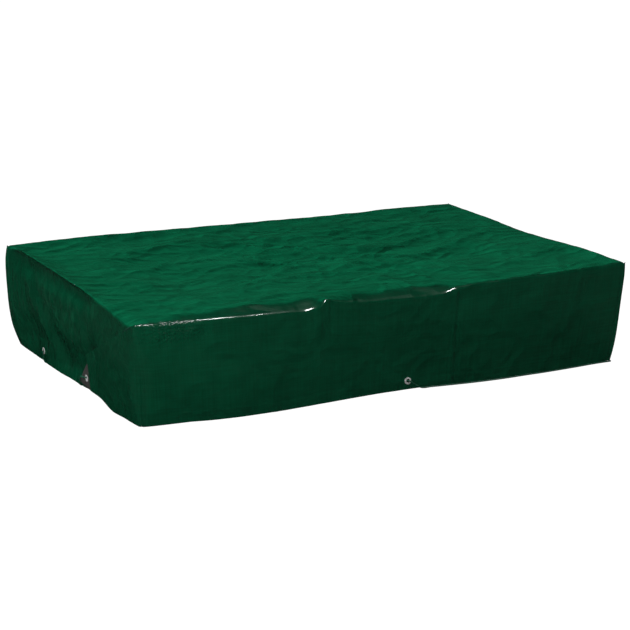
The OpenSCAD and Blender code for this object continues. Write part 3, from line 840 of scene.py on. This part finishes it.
def sideColumn(side, along, edgePoint):
    # one line of points from the top edge down to the hem
    half = halfLength(side)
    hemAlong = along
    if side == "front":
        hemAlong = along * (1 - ear["hem"][0][0] / half)
    elif side == "back":
        hemAlong += tuckShift(along + half) - tuckShift(half - along)
    else:
        hemAlong += tuckShift(along + half) - ear["hem"][0][0] * float(smoothStep(0.10, half, along))
    inset = float(smoothLine(cover["hemInset"][side], hemAlong))
    foot = float(smoothLine(cover["hemHeight"][side], hemAlong))
    high = edgeAt(side, along)
    radius = cover["edgeRadius"]
    points = [np.array(edgePoint)]
    for share in dropShares[1:]:
        drop = share * (high - foot)
        outward = -inset * share + sideBulge(side, along, share)
        height = high - drop
        if drop < radius:
            turn = math.pi / 4 * (1 + drop / radius)
            outward -= radius * (1 - math.sin(turn))
            height = high - radius * (1 - math.cos(turn))
        ahead = along + (hemAlong - along) * share
        points.append(placeOnSide(side, ahead, besideEyelet(side, ahead, height, -outward), height))
    return points


def tuckShift(fromCorner):
    # how far a folded corner drags the hem of the side that it lies on
    return ear["tuckEnd"][0] * (1 - float(smoothStep(0, ear["straighten"], fromCorner)))


corners = [
    # across X, across Y, the side that the ear lies on, the side that wraps round into it
    (1, -1, "right", "front"),
    (1, 1, "back", "right"),
    (-1, 1, "back", "left"),
    (-1, -1, "left", "front"),
]


def earOutline():
    # the ear's rim as (distance from the corner, height, layer share):
    # the hem, its free edge, then the tucked hem
    reach = np.linspace(ear["hem"][0][0], ear["hem"][-1][0], 36)
    heights = smoothLine(ear["hem"], reach)
    rim = [(s, z, 0.0) for s, z in zip(reach, heights)]
    tip, fold, tuck = ear["hem"][-1], ear["foldEnd"], ear["tuckEnd"]
    for share in np.linspace(0, 1, 12)[1:]:
        rim.append((tip[0] + (fold[0] - tip[0]) * share, tip[1] + (fold[1] - tip[1]) * share, 0.0))
    for share in np.linspace(0, 1, 17)[1:]:
        rim.append((fold[0] + (tuck[0] - fold[0]) * share, fold[1] + (tuck[1] - fold[1]) * share, share))
    return rim


def earBulge(reach, height, seed):
    # soft folds that fan out below the fold line, and small creases
    slant = reach * 0.9 - height * 0.45
    bulge = 0.0028 * cloud(slant * 17, height * 5, seed, 2)
    bulge += 0.0024 * (crumple(slant * 1.3, height, seed, 0.045) - 0.5)
    return max(bulge, 0.0)


def earColumns(index, cornerPoint, wrapColumn, hostColumn):
    # the fan of columns that makes one folded corner, from the side that wraps round it to the side it lies on
    acrossX, acrossY, host, _ = corners[index]
    hostHalf = halfLength(host)
    if host == "back":
        cornerAlong, onward = acrossX * hostHalf, -acrossX
    else:
        cornerAlong, onward = -hostHalf, 1
    top = float(edgeAt(host, cornerAlong))
    flatTop = np.array([acrossX * cover["topX"], acrossY * cover["topY"]])
    half = np.array([cover["flatLong"], cover["flatShort"]]) / 2
    skirt = half - (cover["topX"], cover["topY"])
    first, second = (1, 0) if host == "back" else (0, 1)     # axis of the wrap's hem, then of the other
    fold = math.hypot(ear["foldEnd"][0], top - ear["foldEnd"][1])
    beyond = skirt[second] - math.sqrt(max(fold ** 2 - skirt[first] ** 2, 0))

    rim = earOutline()
    outer = [p for p in rim if p[2] == 0.0]
    gaps = [math.dist(here[:2], there[:2]) for here, there in zip(outer, outer[1:])]
    runs = np.concatenate([[0], np.cumsum(gaps)])
    columns, flats = [], []
    for k, (reach, low, tucked) in enumerate(rim):
        flatRim = np.zeros(2)
        if tucked == 0.0:
            run = runs[k] / runs[-1] * (skirt[first] + beyond)
            flatRim[first] = min(run, skirt[first])
            flatRim[second] = skirt[second] - max(run - skirt[first], 0)
        else:
            flatRim[first] = skirt[first]
            flatRim[second] = (skirt[second] - beyond) * (1 - tucked)
        column, flat = [np.array(cornerPoint)], [flatTop]
        for row, share in enumerate(dropShares[1:], 1):
            along, height = reach * share, top + (low - top) * share
            outwards = along if tucked == 0.0 else ear["foldEnd"][0] * share
            away = ear["standOff"] * min(1, share * 8) + ear["spread"] * outwards
            if tucked == 0.0:
                loose = float(smoothStep(0.02, 0.08, along)) * float(smoothStep(0, 5, len(outer) - 1 - k))
                hemward = 1 - 0.6 * float(smoothStep(0.9, 1, share))
                away += earBulge(along, height, 30 + index) * loose * hemward
            away *= 1 - float(smoothStep(0, 0.30, tucked))
            point = placeOnSide(host, cornerAlong + onward * along, leanPlane(host, height) - away, height)
            if tucked == 0.0:
                wrapAway = wrapColumn[row] - earFirst(host, cornerAlong, onward, top, share)
                point = point + wrapAway * (1 - float(smoothStep(0, 0.06, (reach - ear["hem"][0][0]) * share)))
            else:
                tuckAlong, tuckHeight = ear["tuckEnd"][0] * share, top + (ear["tuckEnd"][1] - top) * share
                last = placeOnSide(host, cornerAlong + onward * tuckAlong,
                                   leanPlane(host, tuckHeight), tuckHeight)
                point = point + (hostColumn[row] - last) * float(smoothStep(0.4, 1, tucked))
            column.append(point)
            flat.append(flatTop + flatRim * (acrossX, acrossY) * share)
        columns.append(column)
        flats.append(flat)
    columns[0] = list(wrapColumn)
    return columns[1:-1], flats[1:-1]


def earFirst(host, cornerAlong, onward, top, share):
    reach, low = ear["hem"][0]
    height = top + (low - top) * share
    away = ear["standOff"] * min(1, share * 8) + ear["spread"] * reach * share
    return placeOnSide(host, cornerAlong + onward * reach * share, leanPlane(host, height) - away, height)


def roundCorner(point, share):
    # bend the cloth round the upright corners of the box
    height = point[2]
    which = (1 if point[0] > 0 else -1, 1 if point[1] > 0 else -1)
    if which in cover["cornerSwell"]:
        gone = math.hypot(cover["topX"] - abs(point[0]), cover["topY"] - abs(point[1]))
        push = cover["cornerSwell"][which] * float(smoothLine(cover["swellShape"], share))
        push *= 1 - float(smoothStep(0.02, cover["swellReach"], gone))
        towardsX, towardsY = cover["swellTowards"]
        point = np.array(point, float)
        point[:2] += (towardsX * push * which[0], towardsY * push * which[1])
    radius = float(smoothLine(cover["cornerRounding"], share)) * cover["cornerShare"][which]
    half = (cover["topX"] - leanPlane("left", height), cover["topY"] - leanPlane("front", height))
    near = [half[0] - abs(point[0]), half[1] - abs(point[1])]
    standing = min(near)
    lengthwise = max(near) - standing
    if lengthwise >= radius:
        return point
    turn = math.pi / 4 * (1 - lengthwise / radius)
    inward = radius * (1 - math.cos(turn))
    ahead = radius * (1 - math.sin(turn))
    axis = 0 if near[0] < near[1] else 1      # the side that the point lies on
    done = np.array(point, float)
    done[axis] = math.copysign(half[axis] - standing - inward, point[axis])
    done[1 - axis] = math.copysign(half[1 - axis] - standing - ahead, point[1 - axis])
    return done


def makeCover():
    countX, countY = len(columnsX), len(columnsY)
    points, flats = [], []
    for y in columnsY:
        for x in columnsX:
            points.append(topPoint(x, y))
            flats.append((x, y))
    faces = []
    for j in range(countY - 1):
        for i in range(countX - 1):
            a = j * countX + i
            faces.append((a, a + 1, a + 1 + countX, a + countX))
    print("  top laid")

    # the columns of the four sides, each with the number of the top point that it hangs from
    edge = {
        "front": [(i, x) for i, x in enumerate(columnsX)],
        "right": [(j * countX + countX - 1, y) for j, y in enumerate(columnsY)],
        "back": [((countY - 1) * countX + i, x) for i, x in reversed(list(enumerate(columnsX)))],
        "left": [(j * countX, y) for j, y in reversed(list(enumerate(columnsY)))],
    }
    skirtX, skirtY = cover["flatLong"] / 2 - cover["topX"], cover["flatShort"] / 2 - cover["topY"]
    outward = {"front": (0, -skirtY), "back": (0, skirtY), "left": (-skirtX, 0), "right": (skirtX, 0)}
    hung = {}
    for side, spots in edge.items():
        hung[side] = []
        for number, along in spots:
            column = sideColumn(side, along, points[number])
            at = np.array(flats[number])
            flat = [at + np.array(outward[side]) * share for share in dropShares]
            hung[side].append((number, column, flat))
    loop = []
    for k, side in enumerate(("front", "right", "back", "left")):
        loop += hung[side]
        _, _, host, wrap = corners[k]
        # the corner after this side
        after = ("right", "back", "left", "front")[k]
        wrapColumn = (hung[side][-1] if wrap == side else hung[after][0])[1]
        hostColumn = (hung[side][-1] if host == side else hung[after][0])[1]
        number = hung[side][-1][0]
        fan, fanFlats = earColumns(k, points[number], wrapColumn, hostColumn)
        fan = [(number, column, flat) for column, flat in zip(fan, fanFlats)]
        loop += fan if wrap == side else fan[::-1]

    numbered = []
    for number, column, flat in loop:
        row = [number]
        for point, place, share in zip(column[1:], flat[1:], dropShares[1:]):
            row.append(len(points))
            points.append(tuple(roundCorner(point, share)))
            flats.append(tuple(place))
        numbered.append(row)
    for here, there in zip(numbered, numbered[1:] + numbered[:1]):
        for r in range(len(here) - 1):
            if here[r] == there[r]:
                faces.append((here[r], here[r + 1], there[r + 1]))
            elif here[r + 1] == there[r + 1]:
                faces.append((here[r], here[r + 1], there[r]))
            else:
                faces.append((here[r], here[r + 1], there[r + 1], there[r]))
    piece = addMesh("coverSheet", points, faces)
    flatMap = piece.data.uv_layers.new(name="flat")
    corner = np.zeros(len(piece.data.loops), int)
    piece.data.loops.foreach_get("vertex_index", corner)
    flatMap.data.foreach_set("uv", np.array(flats)[corner].ravel())
    return piece


def eyeletFrame(side, along, height, inset):
    # the place of an eyelet and its turn: its own z points out of the cloth, its x along the side
    tilt = math.atan2(0.025, 0.2743)
    outward = {"front": (0, -1), "back": (0, 1), "left": (-1, 0), "right": (1, 0)}[side]
    z = Vector((outward[0] * math.cos(tilt), outward[1] * math.cos(tilt), math.sin(tilt)))
    x = Vector((0, 0, 1)).cross(z).normalized()
    turn = Matrix((x, z.cross(x), z)).transposed()
    return Vector(placeOnSide(side, along, inset, height)), turn


def hemEyeletFrame(side, along):
    height = cover["hemEyeletHeight"]
    return eyeletFrame(side, along, height, cadHemInset(side, height))


def openEyelets(piece):
    # take the cloth out inside each eyelet's barrel and round off the hole
    work = bmesh.new()
    work.from_mesh(piece.data)
    for side, along in cover["hemEyelets"].items():
        centre, turn = hemEyeletFrame(side, along)
        axis = turn.col[2]
        near = []
        for face in work.faces:
            gap = face.calc_center_median() - centre
            if abs(gap.dot(axis)) < 0.004 and gap.length < 0.03:
                near.append(((gap - axis * gap.dot(axis)).length, face))
        near.sort(key=lambda pair: pair[0])
        gone = [face for k, (away, face) in enumerate(near) if k == 0 or away < 0.0072]
        rim = {v for face in gone for v in face.verts}
        bmesh.ops.delete(work, geom=gone, context="FACES")
        for vertex in rim:
            if not vertex.is_valid:
                continue
            gap = vertex.co - centre
            level = gap - axis * gap.dot(axis)
            if level.length > 1e-5:
                vertex.co = centre + level.normalized() * cover["eyeletOpening"] + axis * gap.dot(axis) * 0.2
    work.to_mesh(piece.data)
    work.free()


tarpOuter = makeTarp("tarpOuter", tarpLook["outerDark"], tarpLook["outerLight"], tarpLook["roughness"])
tarpInner = makeTarp("tarpInner", tarpLook["innerDark"], tarpLook["innerLight"],
                     tarpLook["roughness"] + tarpLook["innerRougher"])
coverSheet = makeCover()
openEyelets(coverSheet)
setFinish(coverSheet, tarpOuter, tarpInner)


thick = coverSheet.modifiers.new("thick", "SOLIDIFY")
thick.thickness = cover["thickness"]
thick.offset = -1
thick.material_offset = 1
thick.use_even_offset = False
applyModifiers(coverSheet)
coverSheet.data.set_sharp_from_angle(angle=math.radians(58))
print("cover made, faces:", len(coverSheet.data.polygons))


# the reinforced corners of the sheet, which show past the ears, each with its eyelet
patch = {
    "outline": [(0.346, 0.0205), (0.352, 0.02), (0.3775, 0.0215), (0.4021, 0.0238), (0.4201, 0.0258),
                (0.4222, 0.0285), (0.4103, 0.0405), (0.3898, 0.06), (0.3676, 0.08), (0.343, 0.099),
                (0.326, 0.112), (0.321, 0.1135), (0.317, 0.108), (0.3245, 0.086), (0.332, 0.064),
                (0.339, 0.042)],
    "eyelet": (0.366, 0.050),
    "rings": 12,
    "hole": 0.0060,           # radius of the opening for the eyelet
    "standOff": 0.0105,       # how far its outer face stands off the side
    "thickness": 0.0010,
    "tones": [(0.3, (0.045, 0.042, 0.040)), (0.5, (0.085, 0.080, 0.077)), (0.7, (0.120, 0.113, 0.110))],
}


def cornerPlace(index, reach):
    # the side that an ear lies on, and how far along it a point at some distance from its corner is
    acrossX, _, host, _ = corners[index]
    cornerAlong, onward = (acrossX * cover["topX"], -acrossX) if host == "back" else (-cover["topY"], 1)
    return host, cornerAlong + onward * reach


def makePatch(name, index, finish):
    outline = []
    corner = patch["outline"]
    for k, here in enumerate(corner):
        there = corner[(k + 1) % len(corner)]
        cuts = max(2, int(math.dist(here, there) / 0.004))
        outline += [tuple(h + (o - h) * t / cuts for h, o in zip(here, there)) for t in range(cuts)]
    centre = patch["eyelet"]
    points = []
    for ring in range(patch["rings"] + 1):
        share = ring / patch["rings"]
        for reach, height in outline:
            heading = math.atan2(height - centre[1], reach - centre[0])
            innerS = centre[0] + patch["hole"] * math.cos(heading)
            innerZ = centre[1] + patch["hole"] * math.sin(heading)
            s = innerS + (reach - innerS) * share ** 1.25
            z = innerZ + (height - innerZ) * share ** 1.25
            calm = float(smoothStep(0.012, 0.03, math.dist((s, z), centre)))
            away = patch["standOff"] - 0.0004 * share + 0.00045 * calm * cloud(s * 24, z * 24, 50 + index, 2)
            host, along = cornerPlace(index, s)
            points.append(placeOnSide(host, along, cadHemInset(host, z) - away, z))
    piece = addMesh(name, points, ringFaces(patch["rings"], len(outline)))
    # faces turn outwards from the box
    outward = Vector({"back": (0, 1, 0), "left": (-1, 0, 0), "right": (1, 0, 0)}[corners[index][2]])
    if sum((p.normal.dot(outward) for p in piece.data.polygons)) < 0:
        piece.data.flip_normals()
    wall = piece.modifiers.new("wall", "SOLIDIFY")
    wall.thickness = patch["thickness"]
    wall.offset = -1
    bevel = piece.modifiers.new("softEdge", "BEVEL")
    bevel.width = 0.0003
    bevel.segments = 2
    bevel.limit_method = "ANGLE"
    bevel.angle_limit = math.radians(60)
    setFinish(piece, finish)
    applyModifiers(piece)
    piece.data.set_sharp_from_angle(angle=math.radians(40))
    return piece


patchFinish = makeSpeckled("patchFabric", patch["tones"], 260.0, 6.0, 0.7, 0.62, 0.0006, 0.6)
patchNames = ["patch_front_right", "patch_back_right", "patch_back_left", "patch_front_left"]
patches = [makePatch("cornerPatch" + str(k + 1), k, patchFinish) for k in range(4)]
print("corner patches made")


# things that repeat: one template is set on many points
def copiesTree():
    tree = bpy.data.node_groups.new("copiesOnSpots", "GeometryNodeTree")
    tree.interface.new_socket("Geometry", in_out="OUTPUT", socket_type="NodeSocketGeometry")
    for name, kind in (("Spots", "Geometry"), ("Template", "Object"), ("Finish", "Material"), ("Spin", "Float"),
                       ("Seed", "Int")):
        tree.interface.new_socket(name, in_out="INPUT", socket_type="NodeSocket" + kind)
    nodes = tree.nodes
    given = nodes.new("NodeGroupInput").outputs
    template = addNode(nodes, "GeometryNodeObjectInfo", {"Object": given["Template"]})
    turn = addNode(nodes, "GeometryNodeInputNamedAttribute", {"Name": "turn"}, data_type="FLOAT_VECTOR")
    chance = addNode(nodes, "FunctionNodeRandomValue", {"Seed": given["Seed"]}, data_type="FLOAT")
    angle = addMath(nodes, "MULTIPLY", chance.outputs[1], given["Spin"])
    about = addNode(nodes, "ShaderNodeCombineXYZ", {"Z": angle})
    toTurn, spin = (addNode(nodes, "FunctionNodeEulerToRotation", {0: euler.outputs[0]})
                    for euler in (turn, about))
    both = addNode(nodes, "FunctionNodeRotateRotation", {0: toTurn.outputs[0], 1: spin.outputs[0]},
                   rotation_space="LOCAL")
    copies = addNode(nodes, "GeometryNodeInstanceOnPoints", {
        "Points": given["Spots"], "Instance": template.outputs["Geometry"], "Rotation": both.outputs[0]})
    real = addNode(nodes, "GeometryNodeRealizeInstances", {0: copies.outputs[0]})
    painted = {"Geometry": real.outputs[0], "Material": given["Finish"]}
    paint = addNode(nodes, "GeometryNodeSetMaterial", painted)
    addNode(nodes, "NodeGroupOutput", {0: paint.outputs[0]})
    return tree


copiesOnSpots = copiesTree()


def setCopies(name, template, spots, finish, spin, seed):
    mesh = bpy.data.meshes.new(name)
    mesh.from_pydata([tuple(place) for place, _ in spots], [], [])
    turns = mesh.attributes.new("turn", "FLOAT_VECTOR", "POINT")
    for k, (_, turn) in enumerate(spots):
        turns.data[k].vector = turn.to_euler()
    holder = addPiece(name, mesh)
    layout = holder.modifiers.new("copies", "NODES")
    layout.node_group = copiesOnSpots
    given = {"Template": template, "Finish": finish, "Spin": spin, "Seed": seed}
    for item in copiesOnSpots.interface.items_tree:
        if item.in_out == "INPUT" and item.name in given:
            layout[item.identifier] = given[item.name]
    holder.update_tag()
    applyModifiers(holder)
    setFinish(holder, finish)
    holder.data.polygons.foreach_set("use_smooth", [True] * len(holder.data.polygons))
    holder.data.set_sharp_from_angle(angle=math.radians(35))
    return holder


def latheRings(name, profile, sides):
    # a closed turned shape from (radius, height) points
    points = [(radius * math.cos(2 * math.pi * k / sides), radius * math.sin(2 * math.pi * k / sides), height)
              for radius, height in profile for k in range(sides)]
    faces = [tuple(p % len(points) for p in face) for face in ringFaces(len(profile), sides)]
    piece = addMesh(name, points, faces)
    faceOutwards(piece)
    piece.hide_render = True
    return piece


eyeletSize = {
    "hole": 0.0050,
    "barrel": 0.0057,
    "flange": 0.00975,
    "dome": 0.0015,
    "washer": 0.0094,
    "sides": 40,
}


def eyeletTemplate(name, wall):
    hole, barrel, flange, dome = (eyeletSize[k] for k in ("hole", "barrel", "flange", "dome"))
    rolled = [(hole, -wall - 0.0012), (hole, 0.0), (hole + 0.0002, 0.0007), (hole + 0.0009, dome * 0.93),
              (hole + 0.0020, dome), (hole + 0.0032, dome * 0.90), (flange - 0.0006, dome * 0.48),
              (flange, dome * 0.26), (flange, 0.00005), (flange - 0.0004, -0.00010), (barrel, -0.00010),
              (barrel, -wall - 0.0004), (barrel + 0.0016, -wall - 0.0005), (barrel + 0.0019, -wall - 0.0009),
              (barrel + 0.0012, -wall - 0.0014), (hole + 0.0003, -wall - 0.0015)]
    return latheRings(name, rolled, eyeletSize["sides"])


def washerTemplate(name, wall):
    rim, inner = eyeletSize["washer"], eyeletSize["barrel"] + 0.00005
    ring = [(inner, -wall), (rim - 0.0002, -wall), (rim, -wall - 0.0002), (rim, -wall - 0.0005),
            (rim - 0.0003, -wall - 0.0006), (inner + 0.0018, -wall - 0.00045), (inner, -wall - 0.0004)]
    return latheRings(name, ring, eyeletSize["sides"])


metalEyelet = makeMetal("eyeletAluminium", (0.93, 0.93, 0.92), 0.34, 900.0)
hemSpots = [hemEyeletFrame(side, along) for side, along in cover["hemEyelets"].items()]
cornerSpots = []
for k in range(len(corners)):
    reach, height = patch["eyelet"]
    host, along = cornerPlace(k, reach)
    cornerSpots.append(eyeletFrame(host, along, height, cadHemInset(host, height) - patch["standOff"]))
shapes, rings = [], {}
for word, template, spin, seed in (("Eyelet", eyeletTemplate, 2 * math.pi, 3),
                                   ("Washer", washerTemplate, 0.0, 5)):
    for start, wall, spots in (("hem", cover["thickness"], hemSpots),
                               ("corner", patch["thickness"], cornerSpots)):
        shapes.append(template(start + word + "Shape", wall))
        name = start + word + "Rings"
        rings[name] = setCopies(name, shapes[-1], spots, metalEyelet, spin, seed + (start == "corner"))
print("eyelets made")


# screws with a hexagon socket, set in the boards
screwSize = {"head": 0.0050, "shank": 0.0025, "cone": 0.0025, "socket": 0.0019, "depth": 0.0018, "sides": 24}


def screwTemplate():
    # the socket's rings are hexagons, the rest are round
    head, shank, cone, socket, depth, count = screwSize.values()
    rings = [(0.0003, -depth, True), (socket * 0.98, -depth, True), (socket, -0.00015, True),
             (socket + 0.0002, 0.0, True), (head - 0.0003, 0.0, False), (head, -0.0003, False),
             (shank, -cone - 0.0001, False), (shank, -0.008, False), (0.0003, -0.0095, False)]
    points = []
    for radius, height, hexed in rings:
        for k in range(count):
            angle = 2 * math.pi * k / count
            size = radius
            if hexed:
                size *= math.cos(math.pi / 6) / math.cos((angle % (math.pi / 3)) - math.pi / 6)
            points.append((size * math.cos(angle), size * math.sin(angle), height))
    faces = ringFaces(len(rings) - 1, count)
    faces.append(tuple(range(count)))
    faces.append(tuple(reversed(range((len(rings) - 1) * count, len(rings) * count))))
    piece = addMesh("screwShape", points, faces)
    faceOutwards(piece)
    piece.hide_render = True
    return piece


frameSize = {
    # half sizes of the timber box and the places of its screws
    "halfX": 0.655, "halfY": 0.414, "plank": 0.028, "post": 0.045, "plankHeight": 0.125, "seatTop": 0.278,
    "faceHeights": (0.25, 0.75), "endHeights": (0.4, 0.6), "mitre": 0.011,
    "longSeat": (-0.66, -0.3, 0.3, 0.66), "shortSeat": (-0.4, 0.4),
}


def screwSpots():
    halfX, halfY, plank, high = (frameSize[k] for k in ("halfX", "halfY", "plank", "plankHeight"))
    postX, postY = halfX - plank - frameSize["post"] / 2, halfY - plank - frameSize["post"] / 2

    def facing(x, y, z, out):
        return Vector((x, y, z)), Vector(out).to_track_quat("Z", "Y").to_matrix()

    plankSpots, cleatSpots, seatSpots = [], [], []
    faceHeights, endHeights = frameSize["faceHeights"], frameSize["endHeights"]
    for course in (0, 1):
        for sx in (-1, 1):
            for sy in (-1, 1):
                plankSpots += [facing(sx * postX, sy * halfY, (course + h) * high, (0, sy, 0))
                               for h in faceHeights]
                plankSpots += [facing(sx * halfX, sy * postY, (course + h) * high, (sx, 0, 0))
                               for h in endHeights]
        for sy in (-1, 1):
            cleatSpots += [facing(0, sy * halfY, (course + h) * high, (0, sy, 0)) for h in faceHeights]
    up, top, slip = (0, 0, 1), frameSize["seatTop"], frameSize["mitre"] / math.sqrt(2)
    for sx in (-1, 1):
        for sy in (-1, 1):
            seatSpots += [facing(sx * (postX + side * slip), sy * (postY - side * slip), top, up)
                          for side in (-1, 1)]
    for sy in (-1, 1):
        seatSpots += [facing(share * halfX, sy * (halfY - plank / 2), top, up)
                      for share in frameSize["longSeat"]]
    for sx in (-1, 1):
        seatSpots += [facing(sx * (halfX - plank / 2), share * halfY, top, up)
                      for share in frameSize["shortSeat"]]
    return plankSpots, cleatSpots, seatSpots


screwSteel = makeMetal("screwZinc", (0.62, 0.62, 0.60), 0.40, 700.0)
shapes.append(screwTemplate())
screwNodes = ("plank_screws", "cleat_screws", "seat_screws")
screwHeads, screwCount = [], 0
for k, (name, spots) in enumerate(zip(("plankScrewHeads", "cleatScrewHeads", "seatScrewHeads"), screwSpots())):
    screwHeads.append(setCopies(name, shapes[-1], spots, screwSteel, 2 * math.pi, 11 + k))
    screwCount += len(spots)
for shape in shapes:
    bpy.data.objects.remove(shape)
print("screws made:", screwCount)


# the timber keeps its CAD shape, with its grain along each board
boardAxis = {"plank_front": 0, "plank_back": 0, "plank_left": 1, "plank_right": 1, "seat_front": 0,
             "seat_back": 0, "seat_left": 1, "seat_right": 1, "post": 2, "cleat": 2}
boardCount = 0
for node, piece in sorted(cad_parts.items()):
    for start, axis in boardAxis.items():
        if node.startswith(start) and not node.endswith("screws"):
            setFinish(piece, makeWood("wood_" + node, axis, 1.7 * boardCount))
            boardCount += 1
linerTones = [(0.3, (0.006, 0.006, 0.007)), (0.7, (0.014, 0.014, 0.015))]
linerFinish = makeSpeckled("linerCloth", linerTones, 700.0, 6.0, 0.7, 0.8, 0.0004, 0.6)
setFinish(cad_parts["ground_liner"], linerFinish)
print("boards finished:", boardCount)


sand = {
    "high": 0.1015,
    "low": 0.0015,
    "ripple": 0.006,
    "tones": [(0.3, (0.36, 0.25, 0.13)), (0.5, (0.60, 0.46, 0.27)), (0.7, (0.74, 0.60, 0.39))],
}


def sandHeight(x, y):
    lump = cloud(x * 3, y * 3, 20, 3)
    return sand["high"] - 0.004 + sand["ripple"] * 0.5 * lump + 0.0012 * cloud(x * 30, y * 30, 21, 2)


def makeSand(finish):
    # loose play sand inside the walls, cut round the posts and cleats
    inX, inY = frameSize["halfX"] - frameSize["plank"], frameSize["halfY"] - frameSize["plank"]
    post = frameSize["post"]
    lines = []
    for reach, count, notch in ((inX, 98, 0.03), (inY, 56, inY - 0.02)):
        parts = [(-reach + post, reach - post, count), (-reach, -reach + post, 5), (reach - post, reach, 5)]
        places = {place for low, high, cuts in parts for place in np.linspace(low, high, cuts).round(6)}
        lines.append(sorted(places | {-notch, notch}))
    xs, ys = lines

    def inside(x, y):
        if abs(x) > inX - post and abs(y) > inY - post:
            return False
        return not (abs(x) < 0.03 and abs(y) > inY - 0.02)

    numbers, points, faces = {}, [], []
    for i in range(len(xs) - 1):
        for j in range(len(ys) - 1):
            if not inside((xs[i] + xs[i + 1]) / 2, (ys[j] + ys[j + 1]) / 2):
                continue
            corner = []
            for a, b in ((i, j), (i + 1, j), (i + 1, j + 1), (i, j + 1)):
                if (a, b) not in numbers:
                    numbers[a, b] = len(points)
                    points.append((xs[a], ys[b], sandHeight(xs[a], ys[b])))
                corner.append(numbers[a, b])
            faces.append(tuple(corner))
    # the same outline at the bottom, and a wall below each outer edge
    count = len(points)
    points += [(x, y, sand["low"]) for x, y, _ in points]
    edges = {(a, b): None for face in faces for a, b in zip(face, face[1:] + face[:1])}
    walls = [(a, a + count, b + count, b) for a, b in edges if (b, a) not in edges]
    under = [tuple(corner + count for corner in reversed(face)) for face in faces]
    piece = addMesh("playSand", points, faces + under + walls)
    piece.data.set_sharp_from_angle(angle=math.radians(50))
    setFinish(piece, finish)
    return piece


sandFinish = makeSpeckled("playSandGrains", sand["tones"], 420.0, 6.0, 0.7, 0.95, 0.0012, 0.6)
playSand = makeSand(sandFinish)
print("sand made")


# what each piece moves with, and the CAD node that it stands for
def settle(piece, body, node):
    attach(piece, body)
    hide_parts(node)


settle(coverSheet, "cover", "cover_sheet")
for piece, node in zip(patches, patchNames):
    settle(piece, "cover", node)
for start in ("hem", "corner"):
    settle(rings[start + "EyeletRings"], "cover", start + "_eyelets")
    settle(rings[start + "WasherRings"], "cover", start + "_washers")
settle(hemCord, "cover", "hem_cord")
settle(cordKnot, "cover", "cord_knot")
for piece, node in zip(screwHeads, screwNodes):
    settle(piece, "sandbox", node)
settle(playSand, "sandbox", "sand_fill")

print("scene ready")
